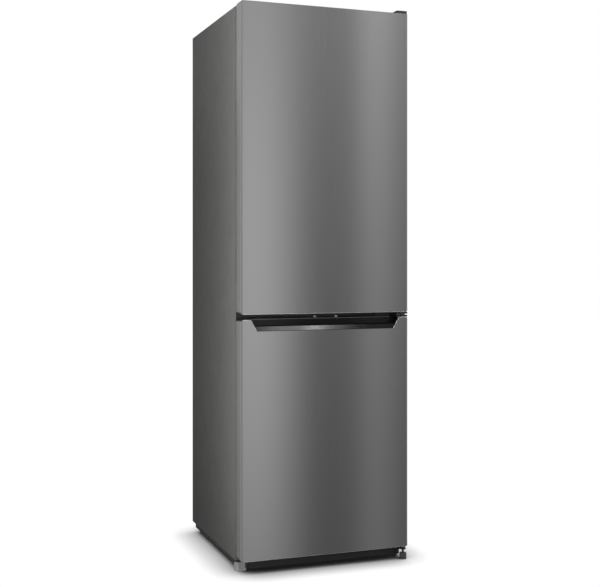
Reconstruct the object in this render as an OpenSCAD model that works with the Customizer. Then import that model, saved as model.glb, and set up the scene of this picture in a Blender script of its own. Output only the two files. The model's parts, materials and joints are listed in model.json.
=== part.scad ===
// Upright refrigerator with a freezer below, two doors hinged on the right.
// Millimetres, +Z up, the front faces -Y, the origin is on the floor under the middle.

/* [Cabinet] */
// Width of the cabinet and of both doors
body_w = 595; // [575:1:700]
// Depth from the door fronts to the rear edges of the side panels
body_d = 620; // [610:1:720]
// Height of the cabinet from its lower edge to its top
cab_h = 1818; // [1790:1:1980]
// Clear height under the cabinet
stand_h = 36; // [35:1:48]
// Steel sheet of the cabinet and of the door skins
sheet_t = 0.8; // [0.6:0.1:1.2]
// Insulation in each side wall
side_ins = 47; // [40:1:56]
// Insulation in the top wall
top_ins = 41; // [38:1:60]
// Insulation in the back wall
back_ins = 65; // [55:1:75]
// Insulation under the freezer
floor_ins = 50; // [46:1:64]
// Height of the insulated divider between the compartments
divider_h = 77; // [74:1:90]
// How far the back panel sits in from the rear edges
back_inset = 2; // [1:0.5:5]
// Wall of the moulded liners
liner_t = 2.5; // [1.5:0.1:3.5]
// Corner radius inside the liners
liner_r = 16; // [8:1:24]

/* [Doors] */
// Thickness of a door without its gasket
door_t = 51; // [46:1:60]
// Gap between a door and the cabinet that the gasket fills
seal_gap = 10; // [8:0.5:12]
// Height of the lower door
lower_door_h = 781; // [740:1:820]
// Gap between the two doors
door_gap = 19; // [16:0.5:26]
// How far the lower door starts above the cabinet's lower edge
door_lift = 9; // [6:0.5:14]
// How far the upper door stands above the cabinet's top
door_over = 6.5; // [4:0.5:20]
// Radius of the doors' upright front edges
door_edge_r = 5; // [3:0.5:8]
// Radius of the doors' corners seen from the front
door_corner_r = 7; // [3:0.5:10]
// Height of the plastic end caps
cap_h = 14; // [13:0.5:18]
// Width of the skin's return at the rear edges
return_w = 12; // [6:0.5:16]
// How far the liner's raised frame stands out behind the upper door
upper_dike_p = 30; // [20:1:34]
// How far the liner's raised frame stands out behind the lower door
lower_dike_p = 22; // [18:1:26]
// Width of that raised frame
dike_w = 22; // [18:1:26]
// Clearance between the raised frame and the compartment's walls
dike_gap = 11; // [9:0.5:14]
// Inset of the gasket from the sides of a door
seal_inset = 20; // [16:0.5:22]
// Inset of the gasket from the horizontal edges of a door
seal_inset_z = 9; // [8:0.5:10]
// Width of the gasket
seal_w = 15; // [12:0.5:16]

/* [Grip] */
// Inset of the grip opening's upper corners from the sides of the door
grip_in_top = 33; // [26:1:60]
// Inset of the grip opening's lower corners
grip_in_low = 54; // [48:1:90]
// Depth of the opening below the top of the lower door
grip_h = 37; // [30:1:44]
// Height of the lip that shows in the opening
grip_lip_h = 15; // [8:1:17]
// Thickness of the lip
grip_lip_t = 5; // [4:0.5:8]
// How far the lip leans back over its height
grip_lean = 10.5; // [4:0.5:12]
// Clear depth of the finger pocket behind the lip
pocket_d = 30; // [24:1:32]
// How far the pocket goes below the opening
pocket_drop = 8; // [4:1:14]
// Wall of the grip moulding
grip_wall = 3; // [2:0.5:4]

/* [Hinges] */
// Hinge line's distance from the side of the doors
hinge_in = 13; // [12:0.5:16]
// Hinge line's distance behind the door fronts
hinge_back = 12; // [11.5:0.5:18]
// Radius of the solid hinge pins
pin_r = 4; // [3:0.5:5]
// Length of a pin above or below its bracket plate's gap
pin_l = 11; // [8:0.5:12]
// Radial clearance of the pins in the bushes
pin_fit = 0.06; // [0.03:0.01:0.1]
// Wall of the hinge bushes
bush_wall = 2.2; // [1.5:0.1:3]
// Outer radius of the hollow lower pin
hollow_pin_r = 6.5; // [6:0.5:7]
// Plate thickness of the hinge brackets
plate_t = 3; // [2:0.5:4]
// Width of the hinge arms
arm_w = 30; // [24:1:40]
// Wall of the hinge cover
cover_t = 1.5; // [1:0.5:2.5]
// Room between the upper arm and the side of its cover
hood_side = 4.5; // [1:0.5:10]
// Room between the upper arm and the top of its cover
hood_room = 4; // [1:0.5:6]
// How far the middle bracket's flange reaches in over the divider
mid_flange = 52; // [46:1:60]

/* [Feet and rollers] */
// Radius of the left levelling foot
left_foot_r = 20; // [14:0.5:22]
// Height of the left foot's round body
left_foot_h = 29; // [20:1:30]
// Distance of the left foot's axis behind the door fronts
left_foot_back = 75; // [70:1:100]
// Radius of the right levelling foot
right_foot_r = 12; // [10:0.5:12]
// Height of the right foot's round body
right_foot_h = 21; // [14:1:26]
// Radius of the feet's threaded stems
stem_r = 4; // [3:0.5:4.5]
// Radius of the rear rollers
roller_r = 15; // [12:0.5:16]
// Width of a rear roller
roller_w = 18; // [12:1:24]
// Half depth of the roller forks
fork_half = 13; // [11:0.5:15]
// Depth of the kick plate's top flange
kick_d = 34; // [28:1:36]
// Radius of the roller axles
axle_r = 3; // [2:0.5:4]
// Distance of the roller axles from the cabinet's rear edges
axle_back = 42; // [36:1:60]

/* [Compressor bay] */
// Height of the compressor bay
bay_h = 230; // [215:1:250]
// Depth of the compressor bay
bay_d = 190; // [180:1:200]
// Insulation around the bay
bay_ins = 50; // [40:1:60]
// Radius of the compressor's can
can_r = 72; // [64:1:76]
// Height of the compressor's can
can_h = 146; // [130:1:150]
// Number of slots in the bay's rear cover
bay_slots = 22; // [10:1:30]

/* [Fridge inside] */
// Number of glass shelves above the crisper
shelf_count = 3; // [2:1:4]
// Thickness of the glass
glass_t = 4; // [3:0.5:6]
// Distance of the shelves' front edge behind the cabinet's front
shelf_back = 132; // [130:1:150]
// Height of the crisper drawer
crisper_h = 180; // [140:1:200]
// Depth of the door shelves
bin_d = 108; // [90:1:110]
// Wall of drawers and door shelves
tray_t = 2.5; // [2:0.1:3.5]
// Height of the three upper door shelves
bin_h = 78; // [60:1:100]
// Height of the bottle shelf
bottle_bin_h = 112; // [90:1:130]
// Travel of the drawers while the doors are shut
drawer_travel = 20; // [10:1:22]
// Running gap under, over and beside the drawers
drawer_gap = 1.5; // [1:0.5:3]
// Width of the air duct cover
duct_w = 170; // [120:1:220]
// Depth of the air duct cover
duct_d = 18; // [12:1:26]
// Width of the control housing in the roof
ctrl_w = 190; // [150:1:260]
// Depth of the control housing
ctrl_d = 80; // [70:1:90]
// Height of the control housing
ctrl_h = 24; // [20:1:30]
// Space between the control housing and the frame of the closed upper door
ctrl_gap = 12; // [8:1:20]
// Radius of the temperature dial
dial_r = 17; // [14:0.5:20]

/* [Freezer inside] */
// Space behind the evaporator cover
evap_space = 52; // [48:1:60]
// Number of fins on the evaporator
fin_count = 21; // [8:1:28]
// Number of tube passes in the evaporator
pass_count = 8; // [4:2:10]
// Radius of the evaporator's tube
tube_r = 4; // [3:0.5:5]
// Distance between tube passes
pass_pitch = 26; // [22:1:28]
// Radius of the air fan
fan_r = 46; // [36:1:50]
// Number of fan blades
blade_count = 5; // [3:1:7]

/* [Hidden] */
$fn = 64;
// Small overshoot of every cut
e = 1;
// Gap between faces that move past each other
slip = 0.3;

// Overall planes
x1 = body_w / 2;
y0 = -body_d / 2;
y1 = body_d / 2;
door_y1 = y0 + door_t;
cab_y0 = door_y1 + seal_gap;
cab_z0 = stand_h;
cab_z1 = stand_h + cab_h;
pan_t = 1.5;
low_z0 = cab_z0 + door_lift;
low_z1 = low_z0 + lower_door_h;
up_z0 = low_z1 + door_gap;
up_z1 = cab_z1 + door_over;
mid_z = (low_z1 + up_z0) / 2;
hinge_x = x1 - hinge_in;
hinge_y = y0 + hinge_back;

// Insulated box: the foam's outside, the cavities in it and the clear space inside the liners
back_y = y1 - back_inset - sheet_t;
cav_x = x1 - sheet_t - side_ins;
cav_y = back_y - back_ins;
cav_z1 = cab_z1 - sheet_t - top_ins;
foam_z0 = cab_z0 + pan_t;
frz_z0 = foam_z0 + floor_ins;
div_z0 = mid_z - divider_h / 2;
div_z1 = mid_z + divider_h / 2;
bay_z1 = cab_z0 + bay_h;
bay_y0 = y1 - bay_d;
step_z = bay_z1 + bay_ins;
step_y = bay_y0 - bay_ins;
in_x = cav_x - liner_t;
in_y = cav_y - liner_t;
in_z1 = cav_z1 - liner_t;
fri_z0 = div_z1 + liner_t;
frz_in_z0 = frz_z0 + liner_t;
frz_in_z1 = div_z0 - liner_t;

// Raised frame behind each door: half width and upper and lower edges
dike_x = in_x - dike_gap;
up_dike_z = [fri_z0 + dike_gap, in_z1 - dike_gap];
low_dike_z = [frz_in_z0 + dike_gap, frz_in_z1 - dike_gap];
dike_in = dike_x - dike_w;
bin_x = dike_in - 0.5;
bin_y1 = door_y1 + bin_d;

// Fridge levels
shelf_y0 = cab_y0 + shelf_back;
shelf_y1 = in_y - duct_d - 4;
shelf_x = in_x - 2;
crisper_z0 = fri_z0 + drawer_gap;
crisper_z1 = crisper_z0 + crisper_h;
cover_z = crisper_z1 + drawer_gap + 8;
shelf_pitch = (in_z1 - cover_z) / (shelf_count + 1);
function shelf_z(i) = cover_z + shelf_pitch * i;
ledge_w = 10;
ledge_h = 6;

// Freezer levels
evap_y0 = in_y - evap_space;
evap_cover_t = 3;
frz_front = door_y1 + lower_dike_p + drawer_travel + 4;
low_shelf_z = step_z + liner_t + 2;
frz_shelf_z = [low_shelf_z, (low_shelf_z + frz_in_z1) / 2];

// Sheet parts and levels near the floor
foot_plate_z = cab_z0 - plate_t;
rail_h = 22;
rail_x = x1 - 10;
left_foot_x = -x1 + left_foot_r;
left_foot_y = y0 + left_foot_back;
roller_x = x1 - 28;
roller_y = y1 - axle_back;

// Box between two values on each axis
module block(x, y, z) {
    translate([x[0], y[0], z[0]]) cube([x[1] - x[0], y[1] - y[0], z[1] - z[0]]);
}

// Rectangle with round corners, of squares and circles so that its arcs stay true
module round_rect(x, y, r) {
    translate([x[0] + r, y[0]]) square([x[1] - x[0] - 2 * r, y[1] - y[0]]);
    translate([x[0], y[0] + r]) square([x[1] - x[0], y[1] - y[0] - 2 * r]);
    for (cx = [x[0] + r, x[1] - r], cy = [y[0] + r, y[1] - r]) translate([cx, cy]) circle(r);
}

// Slot with round ends that fills the rectangle
module stadium(x, y) {
    r = min(x[1] - x[0], y[1] - y[0]) / 2;
    dx = x[1] - x[0] > y[1] - y[0] ? r : 0;
    dy = r - dx;
    translate([x[0] + dx, y[0] + dy]) square([x[1] - x[0] - 2 * dx, y[1] - y[0] - 2 * dy]);
    for (k = [0, 1]) translate([k == 0 ? x[0] + r : x[1] - r, k == 0 ? y[0] + r : y[1] - r])
        circle(r, $fn = 48);
}

// Profile in (x, z) carried along Y, in (y, z) along X, and in (x, y) up Z
module along_y(y) {
    translate([0, y[1], 0]) rotate([90, 0, 0]) linear_extrude(y[1] - y[0]) children();
}
module along_x(x) {
    translate([x[0], 0, 0]) rotate([90, 0, 90]) linear_extrude(x[1] - x[0]) children();
}
module up_z(z) {
    translate([0, 0, z[0]]) linear_extrude(z[1] - z[0]) children();
}

// Round bar between two points
module bar(a, b, r) {
    d = b - a;
    translate(a) rotate([0, acos(d[2] / norm(d)), atan2(d[1], d[0])]) cylinder(r = r, h = norm(d));
}

// Tube run through points, with a ball at each bend
module pipe(points, r) {
    for (i = [0 : len(points) - 2]) bar(points[i], points[i + 1], r);
    for (i = [1 : len(points) - 2]) translate(points[i]) sphere(r);
}

// Clear space inside the fridge liner, grown by g
module fridge_space(g) {
    along_y([cab_y0 - e, in_y + g])
        round_rect([-in_x - g, in_x + g], [fri_z0 - g, in_z1 + g], max(liner_r, 0.5));
}

// Clear space inside the freezer liner: a shallow lower part in front of the compressor bay
module freezer_space() {
    along_y([cab_y0 - e, step_y - liner_t]) round_rect([-in_x, in_x], [frz_in_z0, frz_in_z1], liner_r);
    along_y([cab_y0 - e, in_y]) round_rect([-in_x, in_x], [step_z + liner_t, frz_in_z1], liner_r);
}

// Cavities in the foam
module fridge_cavity() {
    block([-cav_x, cav_x], [cab_y0 - e, cav_y], [div_z1, cav_z1]);
}
module freezer_cavity() {
    block([-cav_x, cav_x], [cab_y0 - e, step_y], [frz_z0, div_z0]);
    block([-cav_x, cav_x], [cab_y0 - e, cav_y], [step_z, div_z0]);
}

// Steel shell: two sides and the top in one bent sheet, with the front frame
module cabinet_wrap() {
    color("#5e5f60") {
        difference() {
            block([-x1, x1], [cab_y0, y1], [cab_z0, cab_z1]);
            block([-x1 + sheet_t, x1 - sheet_t], [cab_y0 + sheet_t, y1 + e], [cab_z0 - e, cab_z1 - sheet_t]);
            block([-cav_x, cav_x], [cab_y0 - e, cab_y0 + 2 * sheet_t], [frz_z0, cav_z1]);
        }
    }
}

// Flat steel back above the compressor bay, with pressed stiffening beads
module back_panel() {
    bead_z0 = bay_z1 + 60;
    bead_h = (cab_z1 - bead_z0 - 60) / 4;
    color("#c9cbcc") difference() {
        block([-x1 + sheet_t, x1 - sheet_t], [back_y, back_y + sheet_t], [bay_z1, cab_z1 - sheet_t]);
        for (i = [0 : 3], s = [-1, 1])
            translate([s * x1 / 2, 0, 0])
                along_y([back_y + sheet_t * 0.6, back_y + sheet_t + e])
                    round_rect([-x1 / 3, x1 / 3],
                        [bead_z0 + i * bead_h, bead_z0 + (i + 1) * bead_h - 30], 12);
    }
}

// Base pan: floor sheet, side rails, front rail and the plate that carries the left foot
module base_pan() {
    color("#222324") difference() {
        union() {
            block([-x1 + sheet_t, x1 - sheet_t], [cab_y0 + sheet_t, y1 - back_inset], [cab_z0, foam_z0]);
            for (s = [-1, 1]) block(s > 0 ? [rail_x - 3, rail_x] : [-rail_x, -rail_x + 3],
                [left_foot_y + left_foot_r + 24, y1 - 8], [cab_z0 - rail_h, cab_z0]);
            block([-rail_x + 3, rail_x - 3], [bay_y0 - 3, bay_y0], [cab_z0 - rail_h / 2, cab_z0]);
            block([-x1 + 1, -x1 + 60], [cab_y0 + sheet_t, left_foot_y + left_foot_r + 8],
                [foot_plate_z, cab_z0]);
        }
        translate([left_foot_x, left_foot_y, foot_plate_z - e])
            cylinder(r = stem_r + pin_fit, h = plate_t + pan_t + 2 * e);
    }
}

// Foam body: fills the walls, the divider and the roof of the compressor bay
module cabinet_foam() {
    color("#e8dfc4") difference() {
        block([-x1 + sheet_t, x1 - sheet_t], [cab_y0 + sheet_t, back_y], [foam_z0, cab_z1 - sheet_t]);
        fridge_cavity();
        freezer_cavity();
        block([-x1, x1], [bay_y0, y1], [cab_z0, bay_z1]);
        translate([left_foot_x, left_foot_y, cab_z0]) cylinder(r = stem_r + 2, h = 14);
    }
}

// Ledges on both side walls that carry a plate whose underside is at z
module ledges(z, y) {
    for (s = [-1, 1])
        block(s > 0 ? [in_x - ledge_w, in_x + 0.5] : [-in_x - 0.5, -in_x + ledge_w], y, [z - ledge_h, z]);
}

// Moulded fridge liner with round corners, shelf ledges and a drain gutter in its floor
module fridge_liner() {
    color("#f1f2f2") {
        difference() {
            block([-cav_x, cav_x], [cab_y0, cav_y], [div_z1, cav_z1]);
            fridge_space(0);
            translate([0, in_y - 12, div_z1 - e]) cylinder(r = 5, h = liner_t + 2 * e);
        }
        ledges(cover_z, [shelf_y0, in_y + 0.5]);
        for (i = [1 : shelf_count]) ledges(shelf_z(i), [shelf_y0, in_y + 0.5]);
    }
}

// Moulded freezer liner, stepped over the compressor bay, with ledges for two shelves
module freezer_liner() {
    color("#f1f2f2") {
        difference() {
            block([-cav_x, cav_x], [cab_y0, step_y], [frz_z0, div_z0]);
            freezer_space();
        }
        difference() {
            block([-cav_x, cav_x], [step_y - liner_t, cav_y], [step_z, div_z0]);
            freezer_space();
        }
        ledges(frz_shelf_z[0], [frz_front + 4, step_y]);
        ledges(frz_shelf_z[1], [frz_front + 4, evap_y0]);
    }
}

// Front bar of the divider, between the two openings
module mullion_bar() {
    color("#8d8f90") difference() {
        block([-cav_x, cav_x], [cab_y0, cab_y0 + sheet_t], [div_z0, div_z1]);
        for (x = mid_screw_x) translate([x, cab_y0 - e, mid_z]) rotate([-90, 0, 0])
            cylinder(r = 2.6, h = sheet_t + 2 * e);
    }
}
mid_screw_x = [cav_x - mid_flange + 12, cav_x - 14];

// Black kick plate between the feet: a front wall with a top flange, end returns and ribs behind
module kick_plate() {
    kx0 = left_foot_x + left_foot_r + 4;
    kx1 = x1 - 6;
    kz0 = 4;
    kz1 = foot_plate_z - 0.5;
    ky = cab_y0 - 3;
    color("#1b1c1d") difference() {
        union() {
            along_x([kx0, kx1]) polygon([
                [ky, kz0 + 3], [ky + 1.5, kz0], [ky + 3, kz0], [ky + 3, kz1 - 2.5],
                [ky + kick_d, kz1 - 2.5], [ky + kick_d, kz1], [ky + 2, kz1], [ky, kz1 - 2]
            ]);
            for (x = [kx0, kx1 - 2.5]) block([x, x + 2.5], [ky + 2, ky + kick_d - 4], [kz0 + 2, kz1 - 1]);
            for (i = [1 : 5]) {
                x = kx0 + (kx1 - kx0) * i / 6;
                along_x([x - 1, x + 1])
                    polygon([[ky + 2, kz0 + 4], [ky + 2, kz1 - 1], [ky + kick_d - 10, kz1 - 1]]);
            }
            for (x = [kx0 + 60, (kx0 + kx1) / 2, kx1 - 90])
                block([x, x + 16], [cab_y0 + sheet_t + 6, cab_y0 + sheet_t + 9], [kz1 - 1, cab_z0]);
        }
        block([x1 - 64, kx1 - 2.5], [ky + 7, ky + 40], [kz1 - 6, kz1 + e]);
    }
}

// Cut for the four screws of the upper bracket and cover of that bracket share these places
top_screws = [for (y = [cab_y0 + 22, cab_y0 + 52], x = [x1 - 52, x1 - 20]) [x, y]];

// Stepped upper bracket: plate on the cabinet's top, riser, arm over the door and its pin
module top_hinge_bracket() {
    arm_z = up_z1 + slip + 0.7;
    color("#a3a5a6") difference() {
        union() {
            block([x1 - 66, x1 - 6], [cab_y0 + 3, cab_y0 + 66], [cab_z1, cab_z1 + plate_t]);
            block([x1 - 4 - arm_w, x1 - 6], [cab_y0 + 3, cab_y0 + 3 + plate_t], [cab_z1, arm_z + plate_t]);
            block([x1 - 4 - arm_w, x1 - 6], [hinge_y, cab_y0 + 3 + plate_t], [arm_z, arm_z + plate_t]);
            translate([hinge_x, hinge_y, arm_z]) cylinder(r = hinge_in - 6, h = plate_t);
            translate([hinge_x, hinge_y, up_z1 - pin_l]) cylinder(r = pin_r, h = pin_l + slip + 1);
        }
        for (p = top_screws) translate([p[0], p[1], cab_z1 - e]) cylinder(r = 2.6, h = plate_t + 2 * e);
    }
}

// Plastic cover over the upper bracket: a narrow hood over the door and a wider one on the cabinet's top
module hood_plan(g) {
    x = [x1 - 4 - arm_w - hood_side - cover_t + g, x1 - 1 - g];
    round_rect(x, [y0 + 2 + g, cab_y0 + 20], 5 - g);
    hood_rear(g);
}
module hood_rear(g) {
    round_rect([x1 - 72 + g, x1 - 1 - g], [cab_y0 + 0.5 + g, cab_y0 + 74 - g], 5 - g);
}
module top_hinge_cover() {
    top = up_z1 + slip + 0.7 + plate_t + hood_room + cover_t;
    color("#3a3b3c") difference() {
        union() {
            up_z([up_z1 + slip + 0.3, top]) hood_plan(0);
            up_z([cab_z1, top]) hood_rear(0);
        }
        up_z([cab_z1 - e, top - cover_t]) hood_plan(cover_t);
    }
}

// Middle bracket: screwed flange on the divider, arm in the gap between the doors, a pin up and a pin down
module middle_hinge_bracket() {
    arm_t = plate_t + 1;
    fl_z = [low_z1 - 4, up_z0 + 4];
    color("#a3a5a6") difference() {
        union() {
            block([cav_x - mid_flange, x1 - 6], [cab_y0 - plate_t + 0.5, cab_y0], fl_z);
            block([x1 - 4 - arm_w, x1 - 6], [hinge_y, cab_y0], [mid_z - arm_t / 2, mid_z + arm_t / 2]);
            translate([hinge_x, hinge_y, mid_z - arm_t / 2]) cylinder(r = hinge_in - 6, h = arm_t);
            translate([hinge_x, hinge_y, low_z1 - pin_l]) cylinder(r = pin_r, h = up_z0 - low_z1 + 2 * pin_l);
            for (z = [[low_z1 + slip, mid_z], [mid_z, up_z0 - slip]]) translate([hinge_x, hinge_y, z[0]])
                cylinder(r = pin_r + 2, h = z[1] - z[0]);
        }
        for (x = mid_screw_x) translate([x, cab_y0 - plate_t, mid_z]) rotate([-90, 0, 0])
            cylinder(r = 2.6, h = plate_t + e);
    }
}

// Black trim on the bar between the doors, and the moulding that covers the middle hinge up to its pin
trim_z = [low_z1 - 6, up_z0 + 6];
trim_t = plate_t - 0.5;
module mullion_trim() {
    f = cab_y0 - trim_t;
    arm_t = plate_t + 1;
    cx = [cav_x - mid_flange - 1, x1 - 1];
    cz = [low_z1 + 1.5, up_z0 - 1.5];
    color("#161718") {
        along_x([-x1 + 1, cx[0] - 0.5]) polygon([
            [cab_y0, trim_z[0]], [f + 1, trim_z[0]], [f, trim_z[0] + 1], [f, mid_z - 7], [f - 2, mid_z - 5.5],
            [f - 2, mid_z - 4], [f, mid_z - 2.5], [f, trim_z[1] - 1], [f + 1, trim_z[1]], [cab_y0, trim_z[1]]
        ]);
        difference() {
            union() {
                block(cx, [f - 2.5, cab_y0], trim_z);
                block(cx, [f - 6.5, f - 1], cz);
                block([x1 - 7 - arm_w, cx[1]], [hinge_y, f - 1], cz);
                block([hinge_x, cx[1]], [hinge_y - hinge_in + 3, f - 1], cz);
                translate([hinge_x, hinge_y, cz[0]]) cylinder(r = hinge_in - 3, h = cz[1] - cz[0]);
            }
            block([cav_x - mid_flange - 0.3, x1 - 5.7], [f - 0.1, cab_y0 + e], [low_z1 - 4.3, up_z0 + 4.3]);
            block([x1 - 4.3 - arm_w, x1], [y0, f], [mid_z - arm_t / 2, mid_z + arm_t / 2]);
            translate([hinge_x, hinge_y, low_z1]) cylinder(r = pin_r + 2.3, h = door_gap);
            for (x = mid_screw_x) translate([x, f + e, mid_z]) rotate([90, 0, 0])
                cylinder(r = 5.6, h = 4.8 + e);
        }
    }
}

bottom_screws = [for (y = [cab_y0 + 12, cab_y0 + 40], x = [x1 - 50, x1 - 18]) [x, y]];

// Lower bracket: plate under the cabinet with a hollow pin, threaded inside for the right foot
module bottom_hinge_bracket() {
    color("#2c2d2e") difference() {
        union() {
            block([x1 - 60, x1 - 3], [cab_y0 + 2, cab_y0 + 54], [foot_plate_z, cab_z0]);
            block([x1 - 4 - arm_w, x1 - 3], [hinge_y, cab_y0 + 3], [foot_plate_z, cab_z0]);
            translate([hinge_x, hinge_y, foot_plate_z]) cylinder(r = hinge_in - 3, h = plate_t);
            translate([hinge_x, hinge_y, foot_plate_z])
                cylinder(r = hollow_pin_r, h = plate_t + door_lift + pin_l);
            translate([hinge_x, hinge_y, cab_z0]) cylinder(r = hollow_pin_r + 2, h = door_lift - slip);
        }
        translate([hinge_x, hinge_y, foot_plate_z - e])
            cylinder(r = stem_r + pin_fit, h = plate_t + door_lift + pin_l + 2 * e);
        for (p = bottom_screws) translate([p[0], p[1], foot_plate_z - e])
            cylinder(r = 2.6, h = plate_t + 2 * e);
    }
}

// Hexagon screw with a washer face, shank towards -Z from its seat
module hex_screw(len) {
    cylinder(r = 2.5, h = len);
    translate([0, 0, -1]) cylinder(r = 5, h = 1);
    translate([0, 0, -4.5]) cylinder(r = 4.6, h = 3.5, $fn = 6);
}

// The screws of the three hinge brackets
module hinge_screws() {
    color("#b9bbbc") {
        for (p = top_screws) translate([p[0], p[1], cab_z1 + plate_t]) mirror([0, 0, 1]) hex_screw(plate_t);
        for (p = bottom_screws) translate([p[0], p[1], foot_plate_z]) hex_screw(plate_t);
        for (x = mid_screw_x) translate([x, cab_y0 - plate_t + 0.5, mid_z]) rotate([-90, 0, 0])
            hex_screw(plate_t + sheet_t - 0.5);
    }
}

// Fork that holds a rear roller, with its axle
module roller_fork(x) {
    w = roller_w / 2 + slip + 0.5;
    t = 2.5;
    difference() {
        union() {
            block([x - w - t, x + w + t], [roller_y - fork_half - 3, roller_y + fork_half + 3],
                [cab_z0 - t, cab_z0]);
            for (s = [x - w - t, x + w])
                along_x([s, s + t]) union() {
                    translate([roller_y - fork_half, roller_r]) square([2 * fork_half, cab_z0 - roller_r]);
                    translate([roller_y, roller_r]) circle(7);
                }
        }
    }
    bar([x - w - t - 1.5, roller_y, roller_r], [x + w + t + 1.5, roller_y, roller_r], axle_r);
}
module roller_brackets() {
    color("#8d8f90") {
        roller_fork(roller_x);
        roller_fork(-roller_x);
    }
}

// Rear roller with a hub and a rounded tread
module roller(x) {
    color("#2a2b2c") translate([x, roller_y, roller_r]) rotate([0, 90, 0]) difference() {
        union() {
            translate([0, 0, -roller_w / 2 + 2]) cylinder(r = roller_r, h = roller_w - 4);
            translate([0, 0, -roller_w / 2]) cylinder(r = roller_r - 2, h = roller_w);
        }
        translate([0, 0, -roller_w / 2 - e]) cylinder(r = axle_r + pin_fit, h = roller_w + 2 * e);
        for (s = [-1, 1]) translate([0, 0, s * (roller_w / 2 - 1)]) rotate_extrude()
            translate([axle_r + 2.5, -1.01]) square([roller_r - axle_r - 7, 2.02]);
    }
}
module roller_left() roller(-roller_x);
module roller_right() roller(roller_x);

// Left foot: wide round body with grip flutes and a threaded stem in the base pan's plate
module foot_left() {
    color("#9b9d9e") translate([left_foot_x, left_foot_y, 0]) {
        difference() {
            union() {
                cylinder(r = left_foot_r - 1, h = left_foot_h);
                translate([0, 0, 1]) cylinder(r = left_foot_r, h = left_foot_h - 2);
            }
            for (i = [0 : 11]) rotate(i * 30) translate([left_foot_r + 1.2, 0, 4])
                cylinder(r = 2, h = left_foot_h);
        }
        cylinder(r = stem_r, h = foam_z0 + 8);
    }
}

// Right foot: its threaded stem runs up inside the hollow lower hinge pin
module foot_right() {
    color("#4a4b4c") translate([hinge_x, hinge_y, 0]) {
        difference() {
            union() {
                cylinder(r = right_foot_r - 1, h = right_foot_h);
                translate([0, 0, 1]) cylinder(r = right_foot_r, h = right_foot_h - 2);
            }
            for (i = [0 : 7]) rotate(i * 45) translate([right_foot_r + 1.2, 0, 4])
                cylinder(r = 2, h = right_foot_h);
        }
        cylinder(r = stem_r, h = cab_z0 + door_lift + pin_l - 3);
    }
}

// Compressor: two pressed half shells with a weld seam, on a foot plate
can_x = -x1 / 5;
can_y = (bay_y0 + y1) / 2 + 4;
can_z = foam_z0 + 16;
foot_pts = [for (sx = [-1, 1], sy = [-1, 1]) [can_x + sx * (can_r + 6), can_y + sy * (can_r - 22)]];
module compressor() {
    color("#1f2021") {
        translate([can_x, can_y, can_z]) rotate_extrude() {
            dome = 26;
            square([can_r - dome, can_h]);
            translate([0, dome]) square([can_r, can_h - 2 * dome]);
            intersection() {
                union() {
                    translate([can_r - dome, dome]) circle(dome);
                    translate([can_r - dome, can_h - dome]) circle(dome);
                }
                square([can_r, can_h]);
            }
            translate([0, can_h * 0.55]) square([can_r + 3, 5]);
        }
        difference() {
            union() {
                block([can_x - can_r + 14, can_x + can_r - 14], [can_y - 30, can_y + 30],
                    [can_z - 3, can_z + 8]);
                for (s = [-1, 1]) up_z([can_z - 3, can_z]) round_rect(
                    [can_x + s * (can_r - 8) - 26, can_x + s * (can_r - 8) + 26],
                    [can_y - can_r + 10, can_y + can_r - 10], 10);
            }
            for (p = foot_pts) translate([p[0], p[1], can_z - 4]) cylinder(r = 6, h = 12);
        }
    }
}

// Rubber mounts between the compressor's foot plate and the base pan
module compressor_grommets() {
    color("#2b2b2b") for (p = foot_pts) translate([p[0], p[1], 0]) {
        translate([0, 0, foam_z0]) cylinder(r = 10, h = can_z - 3 - foam_z0);
        translate([0, 0, foam_z0]) cylinder(r = 6, h = can_z + 3 - foam_z0);
        translate([0, 0, can_z]) cylinder(r = 9, h = 3);
    }
}

// Start relay and terminal box on the side of the compressor
module relay_box() {
    color("#e3e3e0") difference() {
        union() {
            along_x([can_x + can_r - 4, can_x + can_r + 30])
                round_rect([can_y - 28, can_y + 28], [can_z + 16, can_z + 70], 6);
        }
        translate([can_x, can_y, can_z - e]) cylinder(r = can_r + 0.02, h = can_h);
        for (i = [-2 : 2]) block([can_x + can_r + 28, can_x + can_r + 32],
            [can_y + i * 8 - 1.2, can_y + i * 8 + 1.2], [can_z + 28, can_z + 58]);
    }
}

// Filter dryer: a copper can with necked ends, in the liquid line
dry_x = x1 - 70;
dry_y = bay_y0 + 40;
dry_z = foam_z0 + 60;
module filter_dryer() {
    color("#b8734a") translate([dry_x, dry_y, dry_z]) {
        cylinder(r = 10, h = 90);
        translate([0, 0, 90]) cylinder(r1 = 10, r2 = 4, h = 10);
        translate([0, 0, -10]) cylinder(r1 = 4, r2 = 10, h = 10);
    }
}

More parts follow.
